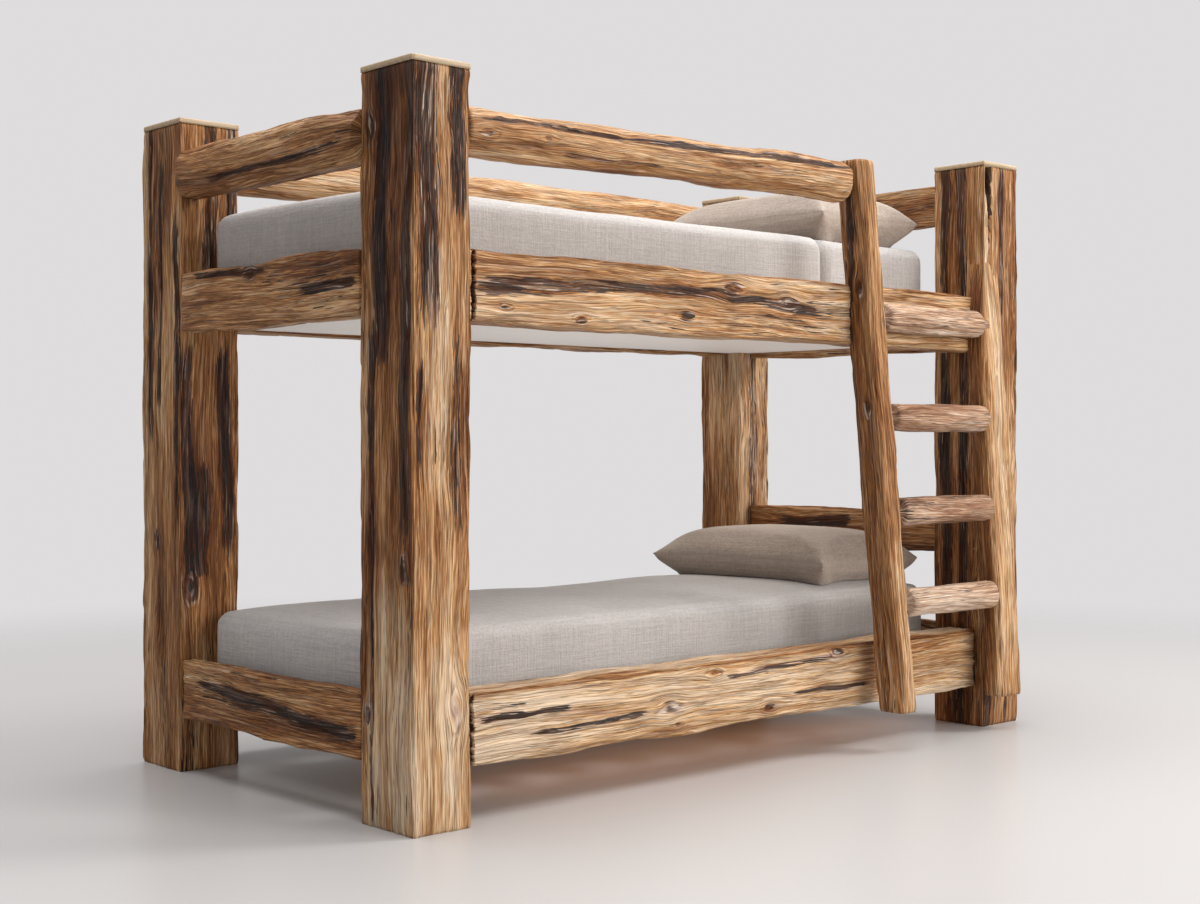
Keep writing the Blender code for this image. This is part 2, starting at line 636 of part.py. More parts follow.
mattress_length = head_inner_face - foot_inner_face - MATTRESS_FOOT_GAP - MATTRESS_HEAD_GAP
post_clear = min(abs(face(post, ACROSS, -toward_y)) for post, _, toward_y in corners)
mattress_width = 2 * (post_clear - MATTRESS_SIDE_GAP)


def mattress(name, bottom, fold):
    """A crowned foam block whose sides draw in between the corners. fold gives it the cross
    crease where its cover is folded."""
    half = Vector((mattress_length, mattress_width, MATTRESS_THICKNESS)) / 2
    bm = bmesh.new()
    bmesh.ops.create_cube(bm, size=1)
    bmesh.ops.scale(bm, vec=half * 2, verts=bm.verts)
    bmesh.ops.bevel(bm, geom=bm.edges[:], offset=MATTRESS_EDGE, segments=MATTRESS_EDGE_STEPS,
                    profile=0.5, affect="EDGES", material=-1)
    # Loops across the block, close together in the fold, then loops along it
    crease = half.x - FOLD_FROM_HEAD
    flat_half = half.x - MATTRESS_EDGE
    loops = [flat_half * (2 * cell / MATTRESS_CELLS - 1) for cell in range(1, MATTRESS_CELLS)]
    if fold:
        loops = [along for along in loops if abs(along - crease) > FOLD_WIDTH]
        loops += [crease + FOLD_WIDTH * (cell / FOLD_CELLS - 0.5) for cell in range(FOLD_CELLS + 1)]
    slices = [((along, 0, 0), (1, 0, 0)) for along in loops]
    slices += [((0, across, 0), (0, 1, 0)) for across in (-half.y / 2, 0, half.y / 2)]
    slices += [((0, 0, 0), (0, 0, 1))]
    for point, normal in slices:
        bmesh.ops.bisect_plane(bm, geom=bm.verts[:] + bm.edges[:] + bm.faces[:], dist=1e-6,
                               plane_co=point, plane_no=normal)
    for vert in bm.verts:
        share_x, share_y, share_z = (vert.co[axis] / half[axis] for axis in (ALONG, ACROSS, UP))
        draw_in = MATTRESS_DRAW_IN * (1 - share_z ** 2)
        near_fold = max(0, 1 - 2 * abs(vert.co.x - crease) / FOLD_WIDTH) if fold else 0
        pinch = FOLD_DEPTH * near_fold
        # Only the end faces and side faces draw in, and only the top is crowned
        if abs(share_x) > FACE_SHARE:
            vert.co.x -= math.copysign(draw_in, share_x)
        if abs(share_y) > FACE_SHARE:
            vert.co.y -= math.copysign(draw_in + pinch, share_y)
        if share_z > 0:
            crown = MATTRESS_CROWN * (1 - share_x ** 4) * (1 - share_y ** 2)
            vert.co.z += crown * share_z - (pinch if share_z > FACE_SHARE else 0)
    along = foot_inner_face + MATTRESS_FOOT_GAP + half.x
    return piece(name, bm, SHEET_LINEN, (along, 0, bottom + half.z), smooth_angle=60)


def pillow(name, rest):
    """A stuffed case with a knife-edge seam and pointed corners, flat where it lies."""
    half = Vector((PILLOW_DEPTH / 2, PILLOW_WIDTH / 2))
    bm = bmesh.new()
    bmesh.ops.create_grid(bm, x_segments=PILLOW_CELLS_X, y_segments=PILLOW_CELLS_Y, size=1)
    doubled = bmesh.ops.duplicate(bm, geom=bm.verts[:] + bm.edges[:] + bm.faces[:])["geom"]
    under = {item for item in doubled if isinstance(item, bmesh.types.BMVert)}
    for vert in bm.verts:
        u, v = vert.co.x, vert.co.y
        swell = ((1 - u ** 4) * (1 - v ** 4)) ** PILLOW_FULLNESS
        vert.co.x = half.x * u * (1 - PILLOW_PINCH * (1 - v ** 2) * abs(u))
        vert.co.y = half.y * v * (1 - PILLOW_PINCH * (1 - u ** 2) * abs(v))
        if vert in under:
            vert.co.z = -PILLOW_UNDER * min(1, PILLOW_FLAT_SHARE * swell)
        else:
            vert.co.z = PILLOW_LOFT * swell
    bmesh.ops.remove_doubles(bm, verts=bm.verts, dist=1e-5)
    along = head_inner_face - PILLOW_HEAD_GAP - half.x
    return piece(name, bm, PILLOW_LINEN, (along, 0, rest + PILLOW_UNDER), smooth_angle=60)


def lay_on(upper, lower):
    """Lowers a loose piece until it lies just over the one that carries it."""
    points = [lower.location + vert.co for vert in lower.data.vertices]
    surface = BVHTree.FromPolygons(points, [polygon.vertices[:] for polygon in lower.data.polygons])
    hits = [surface.ray_cast(upper.location + vert.co, (0, 0, -1)) for vert in upper.data.vertices]
    upper.location.z -= min(distance for *_, distance in hits if distance is not None) - FIT_GAP


for bunk, slat_bottom, _ in bunks:
    bottom = slat_bottom + SLAT_THICKNESS + FIT_GAP
    bed_mattress = mattress(f"{bunk}_mattress", bottom, fold=bunk == "upper")
    bed_pillow = pillow(f"{bunk}_pillow", bottom + MATTRESS_THICKNESS + MATTRESS_CROWN + FIT_GAP)
    lay_on(bed_pillow, bed_mattress)
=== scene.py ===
"""The looks of a log bunk bed: hewn posts and rails, a pole ladder and two linen bunks.

Metres throughout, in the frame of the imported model. X runs from the foot to the head, the front
with the ladder faces -Y, and Z is up.
"""

import math

import bmesh
import bpy
import numpy as np
from mathutils.bvhtree import BVHTree
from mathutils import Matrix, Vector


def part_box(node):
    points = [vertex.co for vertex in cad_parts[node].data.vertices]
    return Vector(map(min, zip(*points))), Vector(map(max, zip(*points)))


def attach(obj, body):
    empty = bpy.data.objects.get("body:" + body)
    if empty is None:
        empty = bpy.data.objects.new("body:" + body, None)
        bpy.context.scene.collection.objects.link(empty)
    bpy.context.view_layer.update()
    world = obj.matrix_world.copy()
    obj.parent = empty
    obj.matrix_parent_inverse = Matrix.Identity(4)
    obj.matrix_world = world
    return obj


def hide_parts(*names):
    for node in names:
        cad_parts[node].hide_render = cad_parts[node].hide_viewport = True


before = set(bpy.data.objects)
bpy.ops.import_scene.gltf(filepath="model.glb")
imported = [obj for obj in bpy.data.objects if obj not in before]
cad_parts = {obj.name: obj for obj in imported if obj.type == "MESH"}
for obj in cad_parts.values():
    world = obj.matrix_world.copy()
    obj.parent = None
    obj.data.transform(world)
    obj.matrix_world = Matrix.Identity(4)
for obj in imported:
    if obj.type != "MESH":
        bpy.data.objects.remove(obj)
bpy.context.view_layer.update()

# Posts: four tree trunks, squared with an axe and left with their grain open.
# Weather has drawn dark stain into the grooves, and painted shade darkens them further.
# The posts' satin oil shows the pale ridges.

BED_MIDDLE_Y = 0.04825
POST_X = 1.0295
POST_Y = 0.489
POST_TOP = 1.636
BED_TOP = 1.650
POST_CORNER = 0.011
HEWN_DEPTH = 0.010
HEWN_WAVES = ((6.1, 2), (11.7, 1), (17.3, 3))
RELIEF = (-0.016, 0.0025)
WHOLE_LENGTH = 5.0
RAGGED_REACH = 0.035
ROW_STEP = 0.0065
COLUMN_STEP = 0.0032
X, Y = 0, 1
FRONT_Y = BED_MIDDLE_Y - POST_Y
BACK_Y = BED_MIDDLE_Y + POST_Y


def ease(low, high, value):
    """0 below low, 1 above high, and a smooth rise between them."""
    share = np.clip((value - low) / (high - low), 0, 1)
    return share * share * (3 - 2 * share)


def rounded_section(width, height, low_corner, high_corner=None):
    """A timber's outline as rows of (u, v, outward angle), and the distance round to each.
    A corner is its radii along u and v; the low one is on the -u side."""
    high_corner = high_corner or low_corner
    arcs = []
    for quarter in range(4):
        angles = quarter * math.pi / 2 + np.linspace(0, math.pi / 2, 13)
        middle = (quarter + 0.5) * math.pi / 2
        radius_u, radius_v = high_corner if math.cos(middle) > 0 else low_corner
        centre_u = math.copysign(width / 2 - radius_u, math.cos(middle))
        centre_v = math.copysign(height / 2 - radius_v, math.sin(middle))
        arcs.append(np.stack((centre_u + radius_u * np.cos(angles),
                              centre_v + radius_v * np.sin(angles), angles), axis=1))
    arcs.append(arcs[0][:1] + (0, 0, 2 * math.pi))
    points = np.concatenate(arcs)
    steps = np.hypot(*np.diff(points[:, :2], axis=0).T)
    return points, np.concatenate(([0], np.cumsum(steps)))


def square_section(width, height, corner):
    return rounded_section(width, height, (corner, corner))


def skin_noise(along, around, girth, length, width, seed):
    """Smooth random patches from 0 to 1 on a timber's skin, each about length by width, which
    close round its girth. Every column starts at its own place, so no ring shows."""
    random = np.random.default_rng(seed)
    columns = max(3, round(girth / width))
    rows = int(np.ptp(along) / length) + 4
    lattice = random.random((rows, columns))
    phase = random.random(columns)
    place = around / girth * columns
    low = np.floor(place).astype(int)
    sides = []
    for column in (low % columns, (low + 1) % columns):
        row = (along - along.min()) / length + phase[column]
        first = np.floor(row).astype(int)
        share = ease(0, 1, row - first)
        sides.append(lattice[first, column] * (1 - share) + lattice[first + 1, column] * share)
    share = ease(0, 1, place - low)
    return sides[0] * (1 - share) + sides[1] * share


def placed(name, data):
    """A new object in the scene."""
    shown = bpy.data.objects.new(name, data)
    bpy.context.scene.collection.objects.link(shown)
    return shown


def vertex_places(mesh):
    places = np.empty(len(mesh.vertices) * 3, np.float32)
    mesh.vertices.foreach_get("co", places)
    return places.reshape(-1, 3)


def hollow(along, angle, seed):
    """How deep the axe went under the saw line here, from 0 to 1, as in the solid."""
    waves = [np.sin(rate * along + turns * angle + seed * rate) for rate, turns in HEWN_WAVES]
    return 0.5 + sum(waves) / (2 * len(waves))


def ring_mesh(columns, rows):
    """A closed round bar of even rings, and for each vertex its row and its share of a turn."""
    bm = bmesh.new()
    bmesh.ops.create_circle(bm, cap_ends=True, segments=columns, radius=1)
    drawn = bmesh.ops.extrude_face_region(bm, geom=bm.faces[:])["geom"]
    far_end = [item for item in drawn if isinstance(item, bmesh.types.BMVert)]
    bmesh.ops.translate(bm, vec=(0, 0, 1), verts=far_end)
    long_edges = [edge for edge in bm.edges if edge.verts[0].co.z != edge.verts[1].co.z]
    bmesh.ops.subdivide_edges(bm, edges=long_edges, cuts=rows - 2)
    bmesh.ops.recalc_face_normals(bm, faces=bm.faces[:])
    mesh = bpy.data.meshes.new("rings")
    bm.to_mesh(mesh)
    bm.free()
    points = vertex_places(mesh).astype(float)
    row = np.rint(points[:, 2] * (rows - 1)).astype(int)
    turn = np.arctan2(points[:, 1], points[:, 0]) / (2 * math.pi) % 1
    return mesh, row, turn


def on_face(axis, at, rows, count):
    """The rows, with count points of the bed in place of their coordinates on a face."""
    marks = []
    for row in rows:
        pairs = [row[start:start + 2] for start in range(0, 2 * count, 2)]
        points = [(*pair[:axis], at, *pair[axis:]) for pair in pairs]
        marks.append((*points, *row[2 * count:]))
    return marks


class Timber:
    """One hewn bar: its rounded section drawn from start to end along an axis, and the marks of
    age on it. Marks lie on a face: its axis, its place there, then a row of values for each mark,
    which begins with its points' other two coordinates."""

    def __init__(self, name, axis, start, end, section, seed, depth=HEWN_DEPTH, sawn=None,
                 tenons=(), end_round=0.0, nose=0.0, ragged=0.0, roughness=1.0, wander=1.0,
                 tone=0.5, weather=0.2, capped=False, dying=None, comb=None):
        self.name = name
        self.axis = axis
        self.across = [index for index in range(3) if index != axis]
        self.start = np.array(start, float)
        self.end = np.array(end, float)
        self.first, self.last = self.start[axis], self.end[axis]
        self.points, self.distance = section
        self.girth = self.distance[-1]
        self.seed = seed
        self.depth = depth
        self.sawn = sawn
        self.tenons = tenons
        self.end_round = end_round
        self.nose = nose
        self.ragged = ragged
        self.roughness = roughness
        self.wander = wander
        self.tone = tone
        self.weather = weather
        self.capped = capped
        self.dying = dying
        self.comb = comb
        self.knots, self.stains, self.washes, self.splits = [], [], [], []

    def knot(self, axis, at, *rows):
        """Branch stumps: size and heart. A heart below 1 leaves one splintered instead of dark."""
        self.knots += on_face(axis, at, rows, 1)

    def stain(self, axis, at, *rows):
        """Weathered bands between two points: half-width, and how much of the band is dark."""
        self.stains += on_face(axis, at, rows, 2)

    def wash(self, axis, at, *rows):
        """Bands like stains, but paler (amount above 0) or browner (below 0)."""
        self.washes += on_face(axis, at, rows, 2)

    def split(self, axis, at, *rows):
        """Drying cracks: half-width at the first point, and depth. They close at the last point.
        Their walls are darkened, to near black deep inside, as painted shade.
        """
        self.splits += on_face(axis, at, rows, 2)

    def centre(self, along):
        share = (along - self.first) / (self.last - self.first)
        return self.start + np.outer(share, self.end - self.start)

    def outline(self, around):
        """The section's u, v and outward angle at distances round the skin."""
        return [np.interp(around, self.distance, column) for column in self.points.T]

    def skin_place(self, point):
        """The along and around places of the skin nearest a point of the bed."""
        along = point[self.axis]
        offset = (np.array(point, float) - self.centre(np.array([along]))[0])[self.across]
        fine = np.linspace(0, self.girth, 400)
        u, v, _ = self.outline(fine)
        return along, fine[np.argmin(np.hypot(u - offset[0], v - offset[1]))]

    def turned(self, around):
        """A distance round the skin, taken the short way."""
        return (around + self.girth / 2) % self.girth - self.girth / 2

    def band(self, along, around, first, last, width):
        """1 along the middle of a band, fading to 0 at its ends and sides."""
        a0, s0 = self.skin_place(first)
        a1, s1 = self.skin_place(last)
        share = (along - a0) / (a1 - a0)
        middle = s0 + self.turned(s1 - s0) * np.clip(share, 0, 1)
        side = np.abs(self.turned(around - middle)) / width
        return ease(1.0, 0.35, side) * ease(-0.04, 0.12, share) * ease(1.04, 0.88, share)

    def stations(self):
        """Each ring's place on the axis, how far it is drawn in, and the tenon it belongs to."""
        count = max(8, round((self.last - self.first) / ROW_STEP))
        along = np.linspace(self.first, self.last, count)
        if self.comb:
            along = np.union1d(along, self.comb[0] + np.linspace(-0.5, 1.8, 17) * self.comb[1])
        along = list(along)
        inset = [0.0] * len(along)
        tenon = [-1] * len(along)
        edge = self.end_round or 0.003
        for side in (0, -1):
            inset[side] = edge
            inset[side + (1 if side == 0 else -1)] = edge * 0.3
        for index, (reach, _, _) in enumerate(self.tenons):
            for step in (0, reach):
                at = 0 if index == 0 else len(along)
                out = step or -1.6 * self.ragged
                along.insert(at, self.first - out if index == 0 else self.last + out)
                inset.insert(at, 0.0)
                tenon.insert(at, index)
        return np.array(along), np.array(inset), np.array(tenon)

    def build(self, body, slot, material):
        station_along, station_inset, station_tenon = self.stations()
        columns = max(24, round(self.girth / COLUMN_STEP))
        mesh, row, turn = ring_mesh(columns, len(station_along))
        along = station_along[row]
        around = turn * self.girth
        u, v, angle = self.outline(around)
        flat = np.zeros(len(row), bool) if self.sawn is None else np.cos(angle - self.sawn) > 0.9
        seeds = iter(range(self.seed * 100, self.seed * 100 + 50))

        def noise(length, width, place=around):
            return skin_noise(along, place, self.girth, length, width, next(seeds))

        # Fibres wander, and part round each knot
        grain = around + 0.016 * (noise(0.30, 0.08) - 0.5) + 0.005 * (noise(0.09, 0.025) - 0.5)
        grain = grain + self.roughness * 0.0018 * (noise(0.05, 0.012) - 0.5)
        knot = np.zeros(len(row))
        rim = np.zeros(len(row))
        for point, size, heart in self.knots:
            at, side = self.skin_place(point)
            off_along = (along - at) / size
            off_side = self.turned(around - side) / size
            near = np.exp(-(off_along / 2.6) ** 2 - (off_side / 1.5) ** 2)
            grain -= 0.85 * off_side * size * near
            reach = np.hypot(off_along / 2.1, off_side) * (0.8 + 0.5 * noise(0.03, 0.012))
            knot = np.maximum(knot, heart * np.clip(1 - reach / 1.7, 0, 1))
            rim = np.maximum(rim, np.exp(-((reach - 1.15) / 0.4) ** 2))

        broad = noise(0.20, 0.075) - 0.5
        facet = noise(0.075, 0.035) - 0.5
        ridge = noise(0.12, 0.010, grain % self.girth)
        fibre = noise(0.06, 0.0065, grain % self.girth)
        weather = self.weather + 0.30 * (noise(0.40, 0.06) - 0.5)
        tone = self.tone + 0.40 * (noise(0.50, 0.09) - 0.5)
        for first, last, width, amount in self.stains:
            weather = weather + amount * self.band(along, grain, first, last, width)
        for first, last, width, amount in self.washes:
            tone = tone + amount * self.band(along, around, first, last, width)
        weather = weather + 0.40 * ease(0.15, 0.65, knot)
        # Grooves between the ridges: dark stain where the wood is weathered, and painted shade
        groove = ease(0.60, 0.84, ridge) * np.clip(0.15 + 1.1 * weather, 0, 1)
        corner = np.sin(2 * angle) ** 2
        chip = corner * ease(0.58, 0.82, noise(0.045, 0.03))

        rise = self.wander * (0.007 * broad + 0.003 * facet - 0.005 * chip)
        rise += 0.0016 * rim - 0.003 * ease(0.4, 0.9, knot) - 0.0050 * groove - 0.0035 * fibre
        rise = np.clip(rise * self.roughness, *RELIEF)
        if self.capped:
            rise *= ease(0, 0.05, self.last - along)
        if self.dying:
            rise *= 0.2 + 0.8 * ease(self.dying[1], self.dying[0] - 0.10, along)
        rise = np.where(flat, np.minimum(rise, 0) * 0.12, rise - self.depth * hollow(
            along - (BED_MIDDLE_Y if self.axis == 1 else 0), angle, self.seed))
        rise -= station_inset[row]
        if self.nose:
            past = np.clip(1 - (self.last - along) / self.nose, 0, 1)
            rise -= 0.45 * self.nose * (1 - np.sqrt(1 - past ** 2))
        for first, last, width, depth in self.splits:
            (a0, s0), (a1, s1) = self.skin_place(first), self.skin_place(last)
            share = (along - a0) / (a1 - a0)
            side = self.turned(around - s0 - self.turned(s1 - s0) * share)
            gap = np.clip(1 - np.abs(side) / (width * np.clip(1 - share, 0.02, 1.2)), 0, 1)
            gap *= ease(1.0, 0.7, share)
            rise -= depth * np.minimum(1, 3.0 * gap)
            # The crack's walls are darkened, to near black deep inside: painted shade in the crack
            groove = np.maximum(groove, 0.8 * ease(0.0, 0.1, gap))
            weather = np.maximum(weather, ease(0.02, 0.15, gap))
        # A ragged notch runs across the hewn faces near the foot end of a front rail, and its
        # inside is darkened: painted shadow in the gap at the post
        if self.comb:
            from_along, wide, deep = self.comb
            uneven = 0.7 * wide * (noise(WHOLE_LENGTH, 0.006) - 0.5)
            past = along - from_along - uneven * (along > from_along + wide / 2)
            cut = ease(-0.06, 0.06, past / wide) * ease(1.06, 0.94, past / wide) * ~flat
            rise -= deep * cut
            groove = np.maximum(groove, cut)
            weather = np.maximum(weather, cut)

        # The ends of a rail are split off, and their fibres stand at uneven lengths
        tooth = 0.25 + noise(WHOLE_LENGTH, 0.007) + 0.4 * (noise(WHOLE_LENGTH, 0.02) - 0.5)
        tooth = self.ragged * tooth
        centre = self.centre(along)
        shift = tooth * (ease(RAGGED_REACH, 0, along - self.first)
                         - ease(RAGGED_REACH, 0, self.last - along))
        place = centre.copy()
        place[:, self.axis] = along + shift
        place[:, self.across[0]] += u + rise * np.cos(angle)
        place[:, self.across[1]] += v + rise * np.sin(angle)
        if self.dying:
            # It thins to a ridge on the corner of the post behind it, and ends inside the post
            first, last, corner, (ridge_x, ridge_half), (sink, end_sink) = self.dying
            share = ease(first, last, along)
            off = (place[:, 0] - ridge_x) / ridge_half
            keep = np.clip(1 - share * (1 + 0.8 * off ** 2), 0, 1)
            sunk = sink * share + end_sink * ease(0.80, 1.0, share)
            for axis in (0, 1):
                proud = np.maximum(0, corner[axis] + sunk - place[:, axis])
                place[:, axis] += proud * (1 - keep)
        for index, (_, (points, distance), offset) in enumerate(self.tenons):
            part = station_tenon[row] == index
            share = turn[part] * distance[-1]
            end = (self.start, self.end)[index] + offset
            place[part, self.axis] = along[part]
            for side, axis in enumerate(self.across):
                place[part, axis] = end[axis] + np.interp(share, distance, points[:, side])

        mesh.vertices.foreach_set("co", place.astype(np.float32).ravel())
        turn_angle = 2 * math.pi * grain / self.girth
        radius = self.girth / (2 * math.pi)
        fibres = np.stack((radius * np.cos(turn_angle), radius * np.sin(turn_angle),
                           along + 3.7 * self.seed), axis=1)
        mesh.attributes.new("grain", "FLOAT_VECTOR", "POINT").data.foreach_set(
            "vector", fibres.astype(np.float32).ravel())
        for key, value in (("weather", np.clip(weather, 0, 1)), ("tone", np.clip(tone, 0, 1)),
                           ("groove", np.clip(groove, 0, 1)), ("knot", knot)):
            made = mesh.attributes.new(key, "FLOAT", "POINT")
            made.data.foreach_set("value", value.astype(np.float32))
        return dressed(self.name, mesh, body, material)


def dressed(name, mesh, body, material):
    """A smooth piece that stands for the CAD node of its name and rides with its body."""
    mesh.name = f"{name}_skin"
    mesh.materials.append(material)
    mesh.polygons.foreach_set("use_smooth", [True] * len(mesh.polygons))
    mesh.update()
    shown = placed(f"{name}_skin", mesh)
    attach(shown, body)
    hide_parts(name)
    return shown


class Shade:
    """One output socket of a material. Arithmetic on it adds Math nodes."""

    def __init__(self, tree, socket=None):
        self.tree = tree
        self.socket = socket

    def node(self, kind, settings, inputs, output=0):
        made = self.tree.nodes.new(kind)
        for key, value in settings.items():
            if key != "stops":
                setattr(made, key, value)
                continue
            stops = made.color_ramp.elements
            while len(stops) < len(value):
                stops.new(1.0)
            for stop, (position, color) in zip(stops, value):
                stop.position = position
                stop.color = (*color, 1)
        for key, value in inputs.items():
            if isinstance(value, Shade):
                self.tree.links.new(value.socket, made.inputs[key])
            else:
                made.inputs[key].default_value = value
        return Shade(self.tree, made.outputs[output])

    def math(self, operation, *values):
        return self.node("ShaderNodeMath", {"operation": operation}, dict(enumerate(values)))

    def __add__(self, other):
        return self.math("ADD", self, other)

    def __sub__(self, other):
        return self.math("SUBTRACT", self, other)

    def __mul__(self, other):
        return self.math("MULTIPLY", self, other)

    __radd__ = __add__
    __rmul__ = __mul__

    def __rsub__(self, other):
        return self.math("SUBTRACT", other, self)

    def __abs__(self):
        return self.math("ABSOLUTE", self)

    def ease(self, low, high):
        return self.node("ShaderNodeMapRange", {"interpolation_type": "SMOOTHSTEP"},
                         {"Value": self, "From Min": low, "From Max": high})

    def scaled(self, vector):
        return self.node("ShaderNodeVectorMath", {"operation": "MULTIPLY"}, {0: self, 1: vector})

    def noise(self, scale, detail=3.0, roughness=0.55):
        return self.node("ShaderNodeTexNoise", {}, {"Vector": self.scaled(scale), "Scale": 1.0,
                                                    "Detail": detail, "Roughness": roughness})

    def mix(self, *colors):
        """The first colour where this is 0, the second where it is 1."""
        low, high = (color if isinstance(color, Shade) else (*color, 1) for color in colors)
        return self.node("ShaderNodeMix", {"data_type": "RGBA"}, {0: self, 6: low, 7: high}, 2)

    def ramp(self, stops):
        return self.node("ShaderNodeValToRGB", {"stops": stops}, {"Fac": self})

    def attribute(self, key, output="Fac"):
        return self.node("ShaderNodeAttribute", {"attribute_name": key}, {}, output)

    def bump(self, strength, distance):
        return self.node("ShaderNodeBump", {}, {"Height": self, "Strength": strength,
                                                "Distance": distance})

    def into(self, shader, key):
        self.tree.links.new(self.socket, shader.inputs[key])


def new_material(name, **constants):
    """A material, its principled shader and the start of its expressions."""
    material = bpy.data.materials.new(name)
    material.use_nodes = True
    shader = material.node_tree.nodes["Principled BSDF"]
    for key, value in constants.items():
        shader.inputs[key.replace("_", " ").title().replace("Ior", "IOR")].default_value = value
    return material, shader, Shade(material.node_tree)


def weathered_wood(name, stops, dark, silver):
    """Long-grained wood: the timber's own tone on a ramp of stops, dark stain in weathered
    streaks with silvered edges, grooves, cracks and notches darkened by stain and painted shade,
    and ringed knots."""
    material, shader, start = new_material(name, specular_ior_level=0.15)
    grain = start.attribute("grain", "Vector")
    weather, tone = start.attribute("weather"), start.attribute("tone")
    groove, knot = start.attribute("groove"), start.attribute("knot")
    patch = grain.noise((22, 22, 1.8), 2)
    strand = grain.noise((95, 95, 4.0), 1.5, 0.5)
    thread = grain.noise((250, 250, 7.5), 1.0, 0.5)
    splinter = grain.scaled((1, -1, 1)).noise((300, 300, 24), 1.0, 0.5)
    fibre = grain.noise((700, 700, 30), 1.0)
    other = grain.scaled((1, 1, -1)).noise((200, 200, 9), 1.5, 0.5)
    check = grain.scaled((-1, 1, 1)).noise((58, 58, 2.4), 2, 0.5) + 0.25 * (thread - 0.5)
    wild = weather.ease(0.12, 0.75)
    shift = 0.8 * (patch - 0.5) - 0.12 * wild + (0.45 + 0.9 * wild) * (strand - 0.5)
    shift = shift + (0.16 + 0.30 * wild) * (thread.ease(0.40, 0.60) - 0.5)
    shift = shift + (0.25 + 1.8 * wild) * (splinter - 0.5)
    color = (tone + shift + 0.6 * (fibre - 0.5)).ramp(stops)
    bleached = 0.26 * wild + 1.3 * (tone - 0.5) + 2.4 * (other - 0.5) + 0.4 * (patch - 0.5)
    color = ((0.25 + 0.30 * wild) * bleached.ease(0.30, 0.48)).mix(color, silver)
    line = 1 - (abs(check - 0.5) + 0.05 * (patch - 0.5) - 0.02 * groove).ease(0.004, 0.026)
    color = ((0.40 + 0.25 * wild) * line).mix(color, dark[2])
    hair = grain.scaled((-1, 1, -1)).noise((150, 150, 5.5), 1.0, 0.5)
    crease = 1 - abs(hair - 0.5).ease(0.010, 0.075)
    color = ((0.44 - 0.24 * tone) * crease).mix(color, dark[2])
    color = (0.45 * tone * hair.ease(0.57, 0.67)).mix(color, stops[-1][1])
    broken = 1.3 * (strand - 0.5) + 2.0 * (thread - 0.5) + 1.2 * (splinter - 0.5)
    # Stain streaks, which also carry the painted shade of the cracks and of the notches at rail
    # ends
    stain_and_shade = (weather + (0.4 + weather) * broken + 0.15 * groove).ease(0.48, 0.61)
    dusk = (other + 0.6 * (patch - 0.5)).ease(0.48, 0.66).mix(dark[0], dark[1])
    color = (0.94 * stain_and_shade).mix(color, dusk)
    # Grooves, cracks and notches are darkened: weathered stain and painted shade
    color = (0.60 * groove).mix(color, dark[2])
    pale = (other + 0.8 * (splinter - 0.5)).ease(0.54, 0.66)
    color = (0.6 * pale * knot.ease(0.10, 0.35)).mix(color, silver)
    rings = start.math("SINE", knot * 16 + strand * 14 + thread * 9) * 0.5 + 0.5
    color = (0.7 * rings.ease(0.45, 0.95) * knot.ease(0.05, 0.40)).mix(color, dark[2])
    core = knot + 0.9 * (other - 0.5) + 0.6 * (strand - 0.5)
    color = (0.6 * core.ease(0.60, 0.85)).mix(color, dark[2])
    color = (0.9 * core.ease(0.78, 0.94)).mix(color, dark[0])
    color.into(shader, "Base Color")
    rough = 0.46 + 0.14 * stain_and_shade + 0.4 * (thread - 0.5) + 0.12 * groove
    rough.into(shader, "Roughness")
    height = strand * 0.6 + thread * 0.6 + (0.25 + 0.6 * wild) * splinter + fibre * 0.12
    height = height - 0.25 * line - 0.2 * crease - 0.15 * stain_and_shade
    height.bump(0.9, 0.007).into(shader, "Normal")
    return material


hewn_wood = weathered_wood(
    "hewn_wood",
    ((0.0, (0.060, 0.018, 0.006)), (0.28, (0.205, 0.074, 0.022)), (0.50, (0.400, 0.184, 0.066)),
     (0.70, (0.575, 0.345, 0.165)), (0.92, (0.720, 0.545, 0.365))),
    dark=((0.013, 0.011, 0.013), (0.088, 0.050, 0.036), (0.075, 0.024, 0.008)),
    silver=(0.60, 0.50, 0.43))


def post(side_x, side_y, size_x, size_y, seed, **finish):
    name = f"{'front' if side_y < 0 else 'back'}_{'foot' if side_x < 0 else 'head'}_post"
    foot = (side_x * POST_X, BED_MIDDLE_Y + side_y * POST_Y, 0)
    return Timber(name, 2, foot, (*foot[:2], POST_TOP), square_section(size_x, size_y, POST_CORNER),
                  seed, wander=0.5, capped=True, **finish)


front_foot = post(-1, -1, 0.166, 0.205, 1, tone=0.48, weather=0.20)
front_foot.stain(X, -1.112,
    (-0.43, 1.8, -0.41, 0.98, 0.035, 0.62), (-0.53, 1.8, -0.5, 0.62, 0.024, 0.7),
    (-0.385, 1.1, -0.39, 0.55, 0.018, 0.45), (-0.39, 0.6, -0.39, 0.01, 0.012, 0.4))
front_foot.stain(Y, -0.543,
    (-1.075, 1.8, -1.066, 1.08, 0.045, 0.5), (-0.985, 1.75, -0.99, 1.3, 0.03, 0.42),
    (-1.091, 1.0, -1.09, 0.78, 0.01, 0.45), (-0.989, 1.1, -0.986, 0.62, 0.014, 0.25),
    (-1.04, 0.75, -1.04, -0.1, 0.11, -0.12))
front_foot.wash(Y, -0.543,
    (-1.04, 0.75, -1.04, -0.1, 0.11, 0.14), (-1.04, 1.25, -1.04, 0.7, 0.045, 0.21))
front_foot.wash(X, -1.112,
    (-0.44, 1.9, -0.44, 0.5, 0.11, -0.22), (-0.44, 0.55, -0.44, -0.1, 0.11, 0.22))
front_foot.knot(X, -1.112,
    (-0.383, 1.517, 0.017, 1.0), (-0.504, 0.561, 0.013, 1.0), (-0.375, 0.242, 0.011, 0.85))
front_foot.knot(Y, -0.543, (-0.997, 0.264, 0.024, 0.66))

